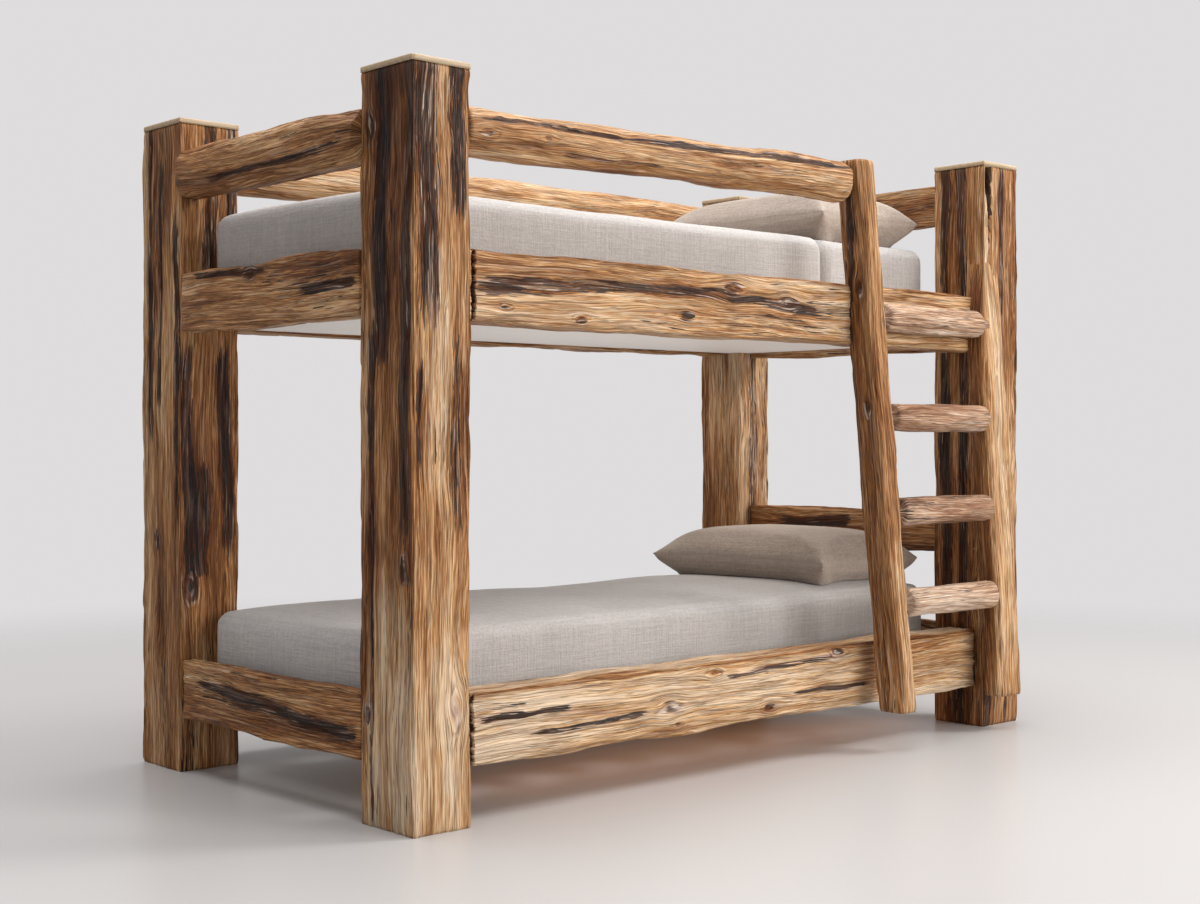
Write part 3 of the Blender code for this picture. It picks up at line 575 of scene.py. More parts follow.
back_foot = post(-1, 1, 0.180, 0.207, 2, tone=0.48, weather=0.22)
back_foot.stain(Y, 0.434,
    (-1.1, 1.08, -1.07, 0.5, 0.026, 0.6), (-1.05, 0.78, -1.055, 0.48, 0.04, 0.6),
    (-0.985, 1.08, -0.97, 0.54, 0.024, 0.5))
back_foot.stain(Y, 0.641, (-1.02, 1.75, -1.0, 1.1, 0.034, 0.5))
back_foot.stain(X, -1.119,
    (0.6, 1.7, 0.585, 0.8, 0.016, 0.45), (0.545, 1.55, 0.54, 0.9, 0.012, 0.5),
    (0.46, 1.45, 0.45, 0.6, 0.016, 0.55))
back_foot.stain(Y, 0.434,
    (-1.03, 1.75, -1.03, 1.25, 0.03, 0.42), (-0.965, 1.75, -0.965, 1.2, 0.02, 0.5))
back_foot.wash(X, -1.119, (0.54, 1.9, 0.54, 0.7, 0.11, -0.08))
back_foot.wash(Y, 0.434, (-1.03, 1.9, -1.03, 0.3, 0.1, -0.14))
back_foot.knot(Y, 0.434, (-1.083, 0.463, 0.02, 1.0))
back_foot.knot(X, -1.12, (0.558, 0.58, 0.012, 1.0))
back_foot.knot(Y, 0.641, (-1.06, 0.9, 0.017, 1.0))

front_head = post(1, -1, 0.181, 0.188, 3, tone=0.48, weather=0.22)
front_head.stain(X, 0.939,
    (-0.385, 1.8, -0.39, 0.7, 0.022, 0.5), (-0.44, 1.8, -0.47, 0.7, 0.026, 0.45))
front_head.stain(Y, -0.535, (1.025, 1.75, 1.025, 1.05, 0.016, 0.45))
front_head.stain(X, 1.12, (-0.42, 1.75, -0.45, 0.85, 0.03, 0.5))
front_head.stain(X, 0.939,
    (-0.395, 1.0, -0.4, 0.28, 0.026, 0.5), (-0.465, 0.92, -0.455, 0.32, 0.02, 0.5),
    (-0.43, 0.3, -0.43, -0.05, 0.045, 0.36))
front_head.stain(Y, -0.535,
    (0.965, 0.32, 0.965, -0.05, 0.018, 0.4), (1.055, 0.28, 1.055, -0.05, 0.012, 0.4))
front_head.wash(X, 0.939, (-0.44, 1.6, -0.44, 0.1, 0.1, -0.03))
front_head.wash(Y, -0.535,
    (1.03, 1.6, 1.03, 0.1, 0.1, 0.04), (0.952, 1.75, 0.952, 1.2, 0.013, 0.3))
front_head.wash(X, 0.939, (-0.44, 0.8, -0.44, -0.1, 0.1, -0.18))
front_head.knot(Y, -0.535, (1.032, 0.997, 0.016, 1.0))
front_head.split(Y, -0.535, (0.974, 1.64, 0.97, 1.37, 0.022, 0.04))

back_head = post(1, 1, 0.160, 0.182, 4, tone=0.55, weather=0.22)
back_head.stain(Y, 0.446, (1.03, 1.5, 1.03, 0.2, 0.03, 0.35))
back_head.stain(Y, 0.628, (1.0, 1.75, 1.01, 0.95, 0.03, 0.5))
back_head.stain(X, 1.109, (0.54, 1.75, 0.56, 1.0, 0.028, 0.55))
back_head.knot(Y, 0.628, (1.06, 0.82, 0.018, 1.0))
back_head.knot(X, 1.109, (0.5, 0.62, 0.015, 1.0))

posts = {timber.name: timber for timber in (front_foot, back_foot, front_head, back_head)}


def set_up(*timbers):
    for timber in timbers:
        timber.build("frame", "hewn_timber", hewn_wood)


set_up(*posts.values())

# Side rails: heavy planks split from a trunk, hewn outside and sawn flat inside for the cleats.
# A tenon at each end is let into the posts; the split ends stand a little off them.

RAIL_Y = POST_Y + 0.010
RAIL_THICKNESS = 0.110
RAIL_CORNER = 0.014
RAIL_TENON = 0.050
RAIL_TENON_THICKNESS = 0.036
TENON_SHOULDERS = 0.060
TENON_CORNER = 0.003
LOWER_TOP = 0.289
UPPER_TOP = 1.262
END_SINK = 0.008
COMB = (-0.924, 0.0115, 0.016)


def post_face(name, axis, toward):
    """The saw line of a post's face on an axis, on its side toward +1 or -1."""
    timber = posts[name]
    return timber.start[axis] + toward * np.abs(timber.points[:, axis]).max()


def between(low_post, high_post, axis):
    """Where a bar between two posts starts and ends, a little inside their saw lines."""
    return post_face(low_post, axis, 1) - END_SINK, post_face(high_post, axis, -1) + END_SINK


def side_rail(level, side, height, top, seed, **finish):
    outward = -1 if side == "front" else 1
    y = BED_MIDDLE_Y + outward * RAIL_Y
    z = top - height / 2
    low, high = between(f"{side}_foot_post", f"{side}_head_post", 0)
    tongue = square_section(RAIL_TENON_THICKNESS, height - TENON_SHOULDERS, TENON_CORNER)
    tenon = (RAIL_TENON, tongue, np.zeros(3))
    return Timber(f"{side}_{level}_rail", 0, (low, y, z), (high, y, z),
                  square_section(RAIL_THICKNESS, height, RAIL_CORNER), seed,
                  sawn=0 if side == "front" else math.pi, tenons=(tenon, tenon), ragged=0.009,
                  roughness=0.85, comb=COMB if side == "front" else None, **finish)


front_lower = side_rail("lower", "front", 0.176, LOWER_TOP, 11, tone=0.83, weather=0.12)
front_lower.stain(Y, -0.506,
    (-0.9, 0.215, -0.62, 0.223, 0.009, 0.62), (-0.91, 0.238, -0.76, 0.232, 0.03, 0.3),
    (-0.76, 0.172, -0.37, 0.186, 0.009, 0.62), (-0.13, 0.25, 0.3, 0.266, 0.009, 0.62),
    (0.14, 0.183, 0.46, 0.177, 0.009, 0.6))
front_lower.wash(Y, -0.502, (-1.2, 0.288, 1.2, 0.288, 0.017, -0.3))
front_lower.wash(Y, -0.506, (0.38, 0.2, 1.25, 0.2, 0.11, -0.17))
front_lower.knot(Y, -0.506,
    (-0.31, 0.187, 0.02, 0.72), (-0.159, 0.255, 0.013, 0.7), (0.315, 0.27, 0.017, 0.78),
    (0.048, 0.149, 0.015, 0.72), (-0.282, 0.143, 0.009, 0.65))
back_lower = side_rail("lower", "back", 0.176, LOWER_TOP, 12, tone=0.62, weather=0.15)
back_lower.stain(Y, 0.602,
    (0.82, 0.225, 0.38, 0.238, 0.01, 0.6), (0.1, 0.165, -0.42, 0.186, 0.012, 0.55))
back_lower.knot(Y, 0.602, (0.3, 0.236, 0.018, 0.75), (-0.52, 0.205, 0.015, 0.8))
front_upper = side_rail("upper", "front", 0.173, UPPER_TOP, 13, tone=0.62, weather=0.15)
front_upper.stain(Y, -0.506,
    (-0.93, 1.178, -0.1, 1.205, 0.022, 0.55), (-0.12, 1.205, 0.24, 1.18, 0.016, 0.5))
front_upper.wash(Y, -0.502, (-1.2, 1.261, 1.2, 1.261, 0.015, -0.22))
front_upper.knot(Y, -0.506,
    (-0.087, 1.218, 0.022, 0.78), (0.121, 1.191, 0.018, 0.78), (-0.823, 1.134, 0.01, 0.72),
    (-0.599, 1.114, 0.012, 0.78), (-0.248, 1.14, 0.01, 1.0))
back_upper = side_rail("upper", "back", 0.150, UPPER_TOP, 14, tone=0.56, weather=0.16)
back_upper.stain(Y, 0.602, (0.7, 1.205, -0.05, 1.19, 0.016, 0.55))
back_upper.knot(Y, 0.602, (-0.15, 1.188, 0.018, 0.78), (0.45, 1.15, 0.012, 1.0))
set_up(front_lower, back_lower, front_upper, back_upper)

# End rails and the headboard rail: thinner planks, hewn outside and sawn flat inside.
# Their tenons are set towards the inside of the bed.

END_RAIL_THICKNESS = 0.052
END_RAIL_CORNER = 0.012
END_TENON_THICKNESS = 0.026
FOOT_RAIL_X = -1.0885
HEAD_RAIL_X = 1.0355
END_TENON_OFFSET = 0.010


def end_bar(name, end, x, z, section, tenon_height, seed, **finish):
    inward = 1 if end == "foot" else -1
    tenon = (RAIL_TENON, square_section(END_TENON_THICKNESS, tenon_height, TENON_CORNER),
             np.array((inward * END_TENON_OFFSET, 0, 0)))
    low, high = between(f"front_{end}_post", f"back_{end}_post", 1)
    return Timber(name, 1, (x, low, z), (x, high, z), section, seed,
                  sawn=0 if end == "foot" else math.pi, tenons=(tenon, tenon), ragged=0.004,
                  roughness=0.8, **finish)


def end_rail(name, end, height, top, seed, **finish):
    x = FOOT_RAIL_X if end == "foot" else HEAD_RAIL_X
    section = square_section(END_RAIL_THICKNESS, height, END_RAIL_CORNER)
    return end_bar(name, end, x, top - height / 2, section, height - TENON_SHOULDERS, seed,
                   **finish)


foot_lower = end_rail("foot_lower_rail", "foot", 0.158, LOWER_TOP, 21, tone=0.45, weather=0.22)
foot_lower.stain(X, -1.114,
    (0.24, 0.225, -0.36, 0.19, 0.036, 0.26), (0.36, 0.235, -0.33, 0.195, 0.016, 0.45))
head_lower = end_rail("head_lower_rail", "head", 0.158, LOWER_TOP, 22, tone=0.50, weather=0.22)
head_lower.stain(X, 1.061, (-0.3, 0.22, 0.25, 0.24, 0.014, 0.5))
foot_upper = end_rail("foot_upper_rail", "foot", 0.162, UPPER_TOP, 23, tone=0.54, weather=0.20)
foot_upper.stain(X, -1.114,
    (0.38, 1.245, 0.05, 1.235, 0.01, 0.45), (-0.1, 1.18, -0.33, 1.18, 0.016, 0.5))
foot_upper.knot(X, -1.114, (0.124, 1.232, 0.012, 1.0))
head_upper = end_rail("head_upper_rail", "head", 0.162, UPPER_TOP, 24, tone=0.50, weather=0.18)
head_upper.stain(X, 1.061, (-0.25, 1.16, 0.1, 1.175, 0.014, 0.5))
head_upper.knot(X, 1.061, (0.2, 1.19, 0.014, 1.0))
headboard = end_rail("headboard_rail", "head", 0.133, 0.623, 25, tone=0.39, weather=0.24)
headboard.stain(X, 1.0095, (0.32, 0.568, 0.02, 0.575, 0.028, 0.52))
set_up(foot_lower, head_lower, foot_upper, head_upper, headboard)

# Guards: half-logs across the ends, flat towards the mattress, and whole logs along the sides.
# The front one runs from the foot post to the ladder's left stile.

ROUND_SHARE = 0.46
END_GUARD_THICKNESS = 0.048
GUARD_TENON = 0.050


def end_guard(end, x, height, drop, seed, **finish):
    round_side = (0.038, ROUND_SHARE * height)
    flat_side = (0.007, 0.007)
    corners = (round_side, flat_side) if end == "foot" else (flat_side, round_side)
    section = rounded_section(END_GUARD_THICKNESS, height, *corners)
    z = BED_TOP - drop - height / 2
    return end_bar(f"{end}_guard", end, x, z, section, GUARD_TENON, seed, **finish)


def log_section(diameter):
    return square_section(diameter, diameter, ROUND_SHARE * diameter)


foot_guard = end_guard("foot", -1.0865, 0.134, 0.078, 31, tone=0.43, weather=0.20)
foot_guard.stain(X, -1.109, (0.3, 1.48, -0.3, 1.492, 0.014, 0.5))
head_guard = end_guard("head", 1.0335, 0.128, 0.042, 32, tone=0.50)
log_tenon = (RAIL_TENON, log_section(GUARD_TENON), np.zeros(3))
BACK_GUARD_Z = 1.548
low, high = between("back_foot_post", "back_head_post", 0)
back_guard = Timber("back_guard", 0, (low, BACK_Y, BACK_GUARD_Z), (high, BACK_Y, BACK_GUARD_Z),
                    log_section(0.138), 33, tenons=(log_tenon, log_tenon), ragged=0.008,
                    roughness=0.8, tone=0.66, weather=0.10)
GUARD_Y = FRONT_Y - 0.050
STILE_SHOULDER = 0.352
low = post_face("front_foot_post", 0, 1) - END_SINK
front_guard = Timber("front_guard", 0, (low, GUARD_Y, 1.511), (STILE_SHOULDER, GUARD_Y, 1.531),
                     log_section(0.118), 34, tenons=(log_tenon, log_tenon), nose=0.034,
                     ragged=0.006, roughness=0.8, tone=0.55, weather=0.13)
front_guard.stain(Y, -0.545,
    (-0.93, 1.538, -0.3, 1.553, 0.013, 0.45), (-0.4, 1.556, 0.34, 1.566, 0.014, 0.7))
front_guard.stain(Y, -0.535, (-0.7, 1.478, -0.35, 1.484, 0.01, 0.35))
front_guard.knot(Y, -0.55, (-0.904, 1.505, 0.013, 0.78), (-0.729, 1.513, 0.011, 0.72))
set_up(foot_guard, head_guard, back_guard, front_guard)

# Ladder: two split saplings lean on the bed, and peeled poles are let in between them.
# A thin neck shows at each pole's left end, and a rounded end at its right.

STILE_DEPTH = 0.006
LADDER_FOOT = 0.106
LADDER_TOP = 1.588
LADDER_RISE = LADDER_TOP - LADDER_FOOT
LADDER_LEAN = 0.061
LADDER_STANDOFF = 0.150
LEFT_STILE_GAP = 0.569
LEFT_STILE_TILT = 0.070
RIGHT_STILE_X = 0.963
RIGHT_STILE_SET = 0.008
RIGHT_STILE_ENDS = (0.100, 1.480)
RIGHT_STILE_HALF = 0.0575
RUNG_HEIGHTS = (0.393, 0.640, 0.897, 1.168)
RUNG_DIAMETER = 0.082
RUNG_TENON = 0.045
RUNG_TENON_REACHES = (0.040, 0.030)
RUNG_NECK = 0.030
RUNG_SINK = 0.010
LEFT_STILE_HALF = 0.038


def ladder_y(z):
    return FRONT_Y - LADDER_STANDOFF + LADDER_LEAN * (z - LADDER_FOOT)


def left_stile_x(z):
    return POST_X - LEFT_STILE_GAP - LEFT_STILE_TILT * (z - LADDER_FOOT) / LADDER_RISE


STILE_CORNER = (post_face("front_head_post", 0, -1), post_face("front_head_post", 1, -1))
STILE_RIDGE = (0.952, 0.06)
STILE_SINKS = (0.014, 0.036)
left_ends = [(left_stile_x(z), ladder_y(z), z) for z in (LADDER_FOOT, LADDER_TOP)]
right_ends = [(RIGHT_STILE_X, ladder_y(z) + RIGHT_STILE_SET, z) for z in RIGHT_STILE_ENDS]
left_stile = Timber("left_stile", 2, *left_ends, square_section(0.076, 0.100, 0.022), 41,
                    depth=STILE_DEPTH, roughness=0.8, tone=0.38, weather=0.18)
left_stile.stain(X, 0.36, (-0.5, 1.55, -0.51, 1.05, 0.012, 0.4))
left_stile.wash(Y, -0.64, (0.455, 0.62, 0.46, -0.05, 0.045, 0.2))
left_stile.knot(X, 0.37, (-0.53, 1.245, 0.012, 1.0))
left_stile.knot(X, 0.38, (-0.55, 0.925, 0.012, 1.0))
right_stile = Timber("right_stile", 2, *right_ends, square_section(0.115, 0.075, 0.022), 42,
                     depth=STILE_DEPTH, roughness=0.8, tone=0.62, weather=0.14,
                     dying=(1.10, 1.50, STILE_CORNER, STILE_RIDGE, STILE_SINKS))
right_stile.wash(X, 0.905, (-0.51, 1.36, -0.55, 0.1, 0.062, -0.22))
set_up(left_stile, right_stile)

peeled_wood = weathered_wood(
    "peeled_wood",
    ((0.0, (0.13, 0.052, 0.026)), (0.30, (0.29, 0.145, 0.078)), (0.52, (0.43, 0.26, 0.16)),
     (0.72, (0.58, 0.40, 0.275)), (0.92, (0.76, 0.63, 0.51))),
    dark=((0.030, 0.018, 0.014), (0.15, 0.085, 0.062), (0.12, 0.045, 0.022)),
    silver=(0.76, 0.66, 0.58))
for number, z in enumerate(RUNG_HEIGHTS, start=1):
    left_face = left_stile_x(z) + LEFT_STILE_HALF
    right_face = RIGHT_STILE_X - RIGHT_STILE_HALF
    reaches = (RUNG_NECK + RUNG_TENON_REACHES[0], RUNG_TENON_REACHES[1])
    rung = Timber(f"rung_{number}", 0, (left_face + RUNG_NECK, ladder_y(z), z),
                  (right_face + RUNG_SINK, ladder_y(z), z), log_section(RUNG_DIAMETER), 50 + number,
                  depth=0.004, end_round=0.006, nose=0.020, roughness=0.6, tone=0.56, weather=0.26,
                  tenons=[(reach, log_section(RUNG_TENON), np.zeros(3)) for reach in reaches])
    rung.build("frame", "peeled_rung", peeled_wood)

# Slats, cleats and pegs: planed softwood, hidden under the mattresses and in the joints, and the
# pale board under the upper bunk. The solids' own shapes serve; only their finish is given here.


def planed_wood(name, axis, pale, deep):
    material, shader, start = new_material(name, specular_ior_level=0.35)
    place = start.node("ShaderNodeTexCoord", {}, {}, "Object")
    squeeze = [140, 140, 140]
    squeeze[axis] = 4
    grain = place.noise(squeeze, 4, 0.6)
    fine = place.noise([value * 4 for value in squeeze], 2)
    color = (grain + 0.3 * (fine - 0.5)).ease(0.30, 0.72).mix(pale, deep)
    color.into(shader, "Base Color")
    rough = 0.52 + 0.2 * (grain - 0.5)
    rough.into(shader, "Roughness")
    (grain + 0.4 * fine).bump(0.25, 0.001).into(shader, "Normal")
    return material


slat_wood = planed_wood("slat_wood", 1, (0.70, 0.53, 0.34), (0.52, 0.34, 0.18))
cleat_wood = planed_wood("cleat_wood", 0, (0.66, 0.49, 0.30), (0.48, 0.31, 0.16))
panel_board = planed_wood("panel_board", 0, (0.93, 0.905, 0.88), (0.89, 0.862, 0.83))
finishes = {"slat": slat_wood, "cleat": cleat_wood, "peg": cleat_wood, "panel": panel_board}
for name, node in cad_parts.items():
    for word, finish in finishes.items():
        if word in name:
            node.data.materials.clear()
            node.data.materials.append(finish)

# Post caps: thin boards of bare pale wood, let onto each post's top and eased to a low dome.
# They are flush with the hewn faces, and keep their sawn grain.

CAP_LEVELS = ((0.0003, 0.0), (0.005, 0.0), (0.0095, 0.0), (0.0120, 0.0010), (0.0135, 0.0035),
              (0.0140, 0.0060))
cap_wood = planed_wood("cap_wood", 0, (0.46, 0.35, 0.23), (0.34, 0.24, 0.14))
for timber in posts.values():
    columns = round(timber.girth / COLUMN_STEP)
    cap, row, turn = ring_mesh(columns, len(CAP_LEVELS))
    u, v, angle = timber.outline(turn * timber.girth)
    level, inset = np.array(CAP_LEVELS).T
    sunk = timber.depth * hollow(POST_TOP, angle, timber.seed) + inset[row]
    x, y = timber.start[0] + u, timber.start[1] + v
    place = np.stack((x - sunk * np.cos(angle), y - sunk * np.sin(angle),
                      POST_TOP + level[row]), axis=1)
    cap.vertices.foreach_set("co", place.astype(np.float32).ravel())
    dressed(timber.name.replace("post", "post_cap"), cap, "frame", cap_wood)

# Mattresses: foam blocks in a light grey linen cover, crowned and softly rounded at the edges.
# The cover is pulled tight, so it swells a little between its edges; the upper one has a fold.

MATTRESS_X = (-1.0595, 0.9725)
MATTRESS_HALF_Y = 0.381
MATTRESS_THICKNESS = 0.198
MATTRESS_BOTTOMS = {"lower": 0.2148, "upper": 1.2153}
MATTRESS_CROWN = 0.010
FOLD_X = 0.4925
FOLD_HALF = 0.036
FOLD_DEPTH = 0.036
FOLD_SLICES = (-1.0, -0.85, -0.7, -0.55, -0.4, -0.28, -0.18, -0.1, -0.04, 0.0)
RIPPLES = ((7.0, 3.1, 0.4, 0.0016), (11.3, -5.2, 2.1, 0.0012), (3.7, 9.4, 4.4, 0.0014),
           (19.1, 6.3, 1.3, 0.0007))
START_INSET = 0.010
EDGE_ROUND = 0.028
CLOTH_CELL = 0.020
PRESSURE = 4.0
SWELL_LIMIT = 0.013


def linen(name, pale, deep):
    """Plain-woven cloth: threads of uneven thickness along each axis, and a soft nap."""
    material, shader, start = new_material(name, specular_ior_level=0.25, sheen_weight=0.15,
                                           sheen_roughness=0.5)
    place = start.node("ShaderNodeTexCoord", {}, {}, "Object")
    weave = 0.5
    for axis in range(3):
        for count, run, share in ((620, 24, 0.5), (210, 7, 0.6)):
            squeeze = [count] * 3
            squeeze[axis] = run
            weave = share * (place.noise(squeeze, 1.0, 0.5) - 0.5) + weave
    slub = place.noise((90, 90, 90), 3)
    soil = place.noise((5, 5, 5), 2)
    shade = weave + 0.6 * (slub - 0.5) + 0.4 * (soil - 0.5)
    color = shade.ease(0.15, 0.85).mix(deep, pale)
    seam = start.attribute("seam").ease(0.55, 0.95)
    color = (0.35 * seam).mix(color, pale)
    color.into(shader, "Base Color")
    rough = 0.86 + 0.2 * (weave - 0.5)
    rough.into(shader, "Roughness")
    (weave - 0.8 * seam).bump(0.6, 0.002).into(shader, "Normal")
    return material


def frozen(shown):
    """The object's mesh with its modifiers applied."""
    graph = bpy.context.evaluated_depsgraph_get()
    return bpy.data.meshes.new_from_object(shown.evaluated_get(graph))


def swollen(mesh, pressure, limit, frames=20, stiffness=15.0, bending=0.5):
    """The mesh after its cloth has been blown out from within; no point moves past the limit."""
    before = vertex_places(mesh)
    shown = placed("swelling", mesh)
    cloth = shown.modifiers.new("cloth", "CLOTH")
    cloth.settings.use_pressure = True
    cloth.settings.uniform_pressure_force = pressure
    cloth.settings.effector_weights.gravity = 0
    cloth.settings.tension_stiffness = stiffness
    cloth.settings.compression_stiffness = stiffness
    cloth.settings.bending_stiffness = bending
    cloth.point_cache.frame_end = frames
    for number in range(1, frames + 1):
        bpy.context.scene.frame_set(number)
    blown = frozen(shown)
    moved = vertex_places(blown) - before
    far = np.linalg.norm(moved, axis=1, keepdims=True)
    place = before + moved * np.minimum(1, limit / np.maximum(far, 1e-6))
    blown.vertices.foreach_set("co", place.ravel())
    bpy.data.objects.remove(shown)
    bpy.context.scene.frame_set(1)
    return blown


def modified(mesh, kind, **settings):
    """The mesh with one modifier applied."""
    shown = placed("work", mesh)
    modifier = shown.modifiers.new("work", kind)
    for key, value in settings.items():
        setattr(modifier, key, value)
    result = frozen(shown)
    bpy.data.objects.remove(shown)
    return result


mattress_linen = linen("mattress_linen", (0.50, 0.474, 0.458), (0.39, 0.367, 0.353))
mattresses = {}
for bunk, bottom in MATTRESS_BOTTOMS.items():
    low = np.array((MATTRESS_X[0], BED_MIDDLE_Y - MATTRESS_HALF_Y, bottom))
    high = np.array((MATTRESS_X[1], BED_MIDDLE_Y + MATTRESS_HALF_Y, bottom + MATTRESS_THICKNESS))
    bm = bmesh.new()
    bmesh.ops.create_cube(bm, size=1)
    bmesh.ops.scale(bm, vec=high - low - 2 * START_INSET, verts=bm.verts)
    bmesh.ops.translate(bm, vec=(low + high) / 2, verts=bm.verts)
    bmesh.ops.bevel(bm, geom=bm.edges[:], offset=EDGE_ROUND, segments=5, profile=0.5,
                    affect="EDGES", material=-1)
    block = bpy.data.meshes.new("block")
    bm.to_mesh(block)
    bm.free()
    pad = modified(block, "REMESH", mode="VOXEL", voxel_size=CLOTH_CELL)
    pad = swollen(pad, PRESSURE, SWELL_LIMIT)
    place = vertex_places(pad)
    place[:, 2] = np.maximum(place[:, 2], bottom)
    pad.vertices.foreach_set("co", place.ravel())
    pad = modified(pad, "SUBSURF", levels=1, render_levels=1)
    bm = bmesh.new()
    bm.from_mesh(pad)
    middle = (low + high) / 2
    half = (high - low) / 2
    slices = ()
    if bunk == "upper":
        slices = sorted({side * step for step in FOLD_SLICES for side in (-1, 1)})
    for step in slices:
        bmesh.ops.bisect_plane(bm, geom=bm.verts[:] + bm.edges[:] + bm.faces[:], dist=1e-5,
                               plane_co=(FOLD_X + step * FOLD_HALF, 0, 0), plane_no=(1, 0, 0))
    for vert in bm.verts:
        x, y, z = (np.array(vert.co) - middle) / half
        ripple = sum(size * math.sin(a * vert.co.x + b * vert.co.y + 9 * vert.co.z + c)
                     for a, b, c, size in RIPPLES)
        crown = MATTRESS_CROWN * (1 - min(1, x * x) ** 2) * (1 - min(1, y * y))
        vert.co.y += ripple * y ** 9
        vert.co.z += max(0, z) * (crown + ripple)
        if slices:
            near = 1 - min(1, abs(vert.co.x - FOLD_X) / FOLD_HALF)
            pinch = FOLD_DEPTH * (1 - math.sqrt(1 - near ** 2))
            vert.co.y = middle[1] + (vert.co.y - middle[1]) * (1 - pinch / half[1])
            vert.co.z = bottom + (vert.co.z - bottom) * (1 - pinch / MATTRESS_THICKNESS)
    bm.to_mesh(pad)
    bm.free()
    mattresses[bunk] = dressed(f"{bunk}_mattress", pad, f"{bunk}_mattress_body",
                               mattress_linen)

# Pillows: stuffed linen cases, sewn along a seam half-way up, with pointed corners.
# They lie on the mattress, flat underneath, and their covers swell between the seams.

PILLOW_HALF = (0.242, 0.350)
PILLOW_PINCH = 0.08
UNDER_FULLNESS = 0.36
OVER_FULLNESS = 0.60
SEAM_SHARE = 0.40
FIRST_LOFT = 0.78
UNDER_FLATNESS = 1.25
PILLOW_SWELL = 0.020
CLOTH_GAP = 0.0006
SETTLE = 0.012
pillow_linen = linen("pillow_linen", (0.415, 0.342, 0.288), (0.305, 0.244, 0.200))
for bunk, mattress in mattresses.items():
    low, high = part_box(f"{bunk}_pillow")
    under_loft = SEAM_SHARE * (high.z - low.z)
    over_loft = (1 - SEAM_SHARE) * (high.z - low.z)
    cells = ((58, 82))
    bm = bmesh.new()
    bmesh.ops.create_grid(bm, x_segments=cells[0], y_segments=cells[1], size=1)
    seam = bm.verts.layers.float.new("seam")
    doubled = bmesh.ops.duplicate(bm, geom=bm.verts[:] + bm.edges[:] + bm.faces[:])["geom"]
    under = {item for item in doubled if isinstance(item, bmesh.types.BMVert)}
    for vert in bm.verts:
        u, v = vert.co.x, vert.co.y
        vert[seam] = float(max(abs(u), abs(v)) > 0.999)
        fullness = UNDER_FULLNESS if vert in under else OVER_FULLNESS
        swell = ((1 - min(1, u ** 4)) * (1 - min(1, v ** 4))) ** fullness
        pinch_u = 1 - PILLOW_PINCH * (1 - v ** 2) * abs(u)
        pinch_v = 1 - PILLOW_PINCH * (1 - u ** 2) * abs(v)
        vert.co.x = (low.x + high.x) / 2 + PILLOW_HALF[0] * u * pinch_u
        vert.co.y = (low.y + high.y) / 2 + PILLOW_HALF[1] * v * pinch_v
        rise = FIRST_LOFT * over_loft * swell
        if vert in under:
            rise = -under_loft * min(1, UNDER_FLATNESS * swell)
        vert.co.z = low.z + under_loft + rise
    bmesh.ops.remove_doubles(bm, verts=bm.verts, dist=1e-5)
    bmesh.ops.recalc_face_normals(bm, faces=bm.faces[:])
    case = bpy.data.meshes.new("case")
    bm.to_mesh(case)
    bm.free()
    case = swollen(case, PRESSURE, PILLOW_SWELL)
    case = modified(case, "SUBSURF", levels=1, render_levels=1)
    # It settles onto the mattress under it
    bed = mattress.data
    surface = BVHTree.FromPolygons([vert.co for vert in bed.vertices],
                                   [face.vertices[:] for face in bed.polygons])
    for vert in case.vertices:
        found = surface.ray_cast((vert.co.x, vert.co.y, high.z + 0.1), (0, 0, -1))[0]
        ground = found.z + CLOTH_GAP if found else low.z
        gap = max(0, vert.co.z - ground)
        vert.co.z = ground + gap * ease(0, SETTLE, gap)
    pillow = dressed(f"{bunk}_pillow", case, f"{bunk}_pillow_body", pillow_linen)

# The studio: a pale floor that runs out of sight and a bright even surround. Large soft lamps light
# it from the front right, the front and above, and three weak ones stand in for light thrown back
# under the bed, onto the lower bunk and onto the panel.

FLOOR_RADIUS = 9.0
FLOOR_FADE = (2.0, 4.9)
bm = bmesh.new()
bmesh.ops.create_circle(bm, cap_ends=True, segments=96, radius=FLOOR_RADIUS)
floor_mesh = bpy.data.meshes.new("floor")
bm.to_mesh(floor_mesh)
bm.free()
floor = placed("floor", floor_mesh)
floor_finish, floor_shader, start = new_material(
    "floor_finish", base_color=(0.485, 0.473, 0.469, 1), roughness=0.34)
floor_mesh.materials.append(floor_finish)
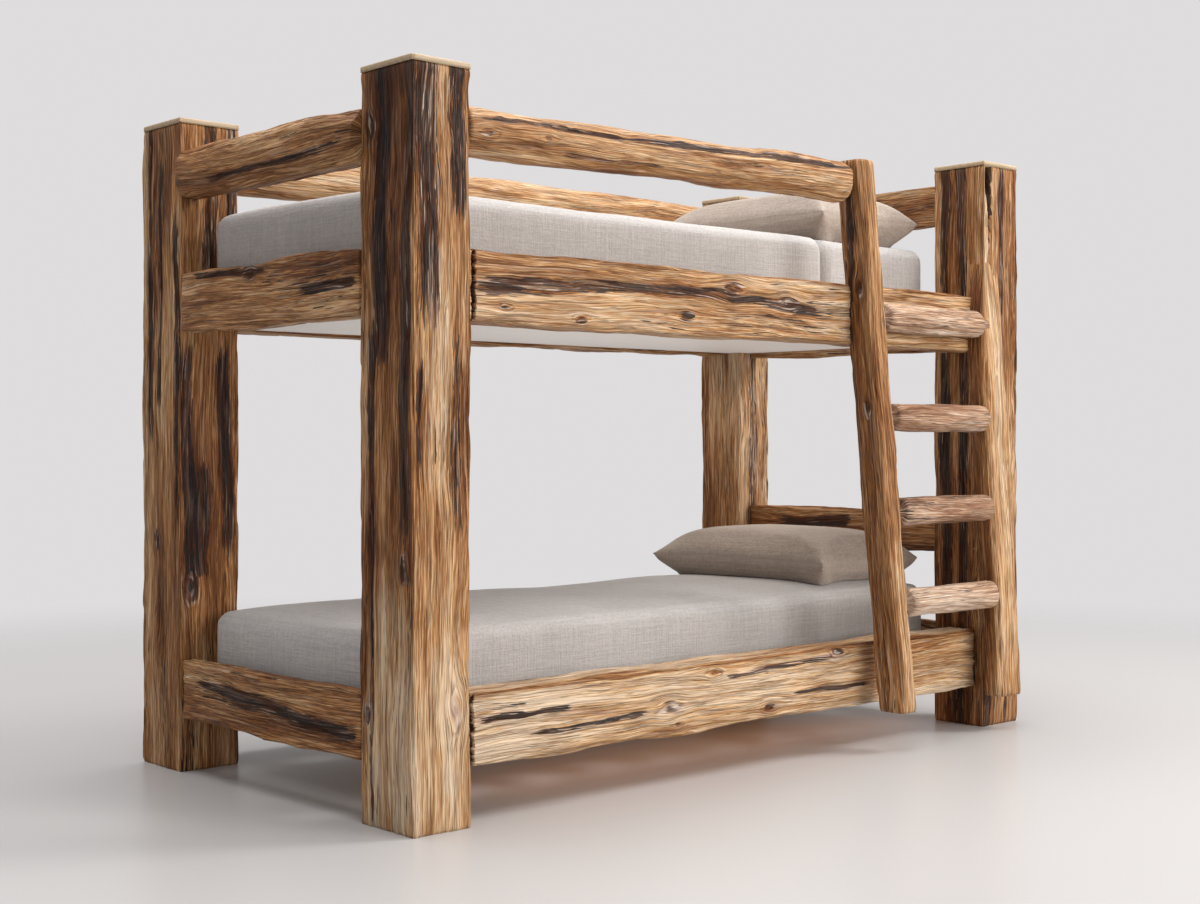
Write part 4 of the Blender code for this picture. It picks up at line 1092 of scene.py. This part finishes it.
# The floor thins out into the surround, so no horizon shows
place = start.node("ShaderNodeTexCoord", {}, {}, "Object")
reach = start.node("ShaderNodeVectorMath", {"operation": "LENGTH"}, {0: place}, "Value")
opening = start.node("ShaderNodeBsdfTransparent", {}, {})
solid = Shade(floor_finish.node_tree, floor_shader.outputs[0])
faded = start.node("ShaderNodeMixShader", {}, {0: reach.ease(*FLOOR_FADE), 1: solid, 2: opening})
faded.into(floor_finish.node_tree.nodes["Material Output"], "Surface")

world = bpy.data.worlds.new("surround")
bpy.context.scene.world = world
world.use_nodes = True
nodes = Shade(world.node_tree)
seen = nodes.node("ShaderNodeLightPath", {}, {}, "Is Camera Ray")
backdrop = seen.mix((0.485, 0.475, 0.475), (0.735, 0.720, 0.728))
backdrop.into(world.node_tree.nodes["Background"], "Color")


def soft_light(name, place, target, size, power, color, stretch=1.0):
    """An oval lamp, longer along X by stretch, that the camera doesn't see."""
    data = bpy.data.lights.new(name, "AREA")
    data.shape = "ELLIPSE"
    data.size = size * stretch
    data.size_y = size
    data.energy = power
    data.color = color
    light = placed(name, data)
    light.location = place
    light.visible_camera = False
    aim = np.array(target, float) - np.array(place, float)
    tilt = math.acos(-aim[2] / np.linalg.norm(aim))
    light.rotation_euler = (tilt, 0, math.atan2(aim[0], -aim[1]) + math.pi)


soft_light("key", (4.1, -3.2, 5.5), (0, 0, 0.8), 2.2, 262, (1.0, 0.965, 0.93))
soft_light("front_fill", (1.4, -5.4, 1.8), (0, 0, 0.6), 3.2, 180, (1.0, 0.98, 0.96))
soft_light("overhead", (-0.3, 0.2, 5.6), (-0.3, 0.2, 0), 6.0, 360, (1.0, 1.0, 1.0))
soft_light("under_bounce", (0.05, -0.26, 0.16), (0.05, -0.26, 0), 0.35, 0.75, (1.0, 0.38, 0.12),
           5.0)
soft_light("bunk_bounce", (0.62, 0.12, 1.06), (0.62, 0.12, 0), 0.5, 2.0, (1.0, 0.95, 0.90), 1.6)
soft_light("panel_bounce", (0.0, 0.05, 0.62), (0.0, 0.05, 1.2), 0.45, 0.9, (1.0, 0.97, 0.94), 3.5)

camera_data = bpy.data.cameras.new("camera")
camera_data.lens = 51.31
camera_data.sensor_width = 36
camera_data.shift_y = -0.01175
camera = placed("camera", camera_data)
camera.location = (-3.2339, -3.4487, 0.8415)
camera.rotation_euler = (math.pi / 2, 0, math.radians(-42.41))
bpy.context.scene.camera = camera
bpy.context.scene.view_settings.view_transform = "Standard"
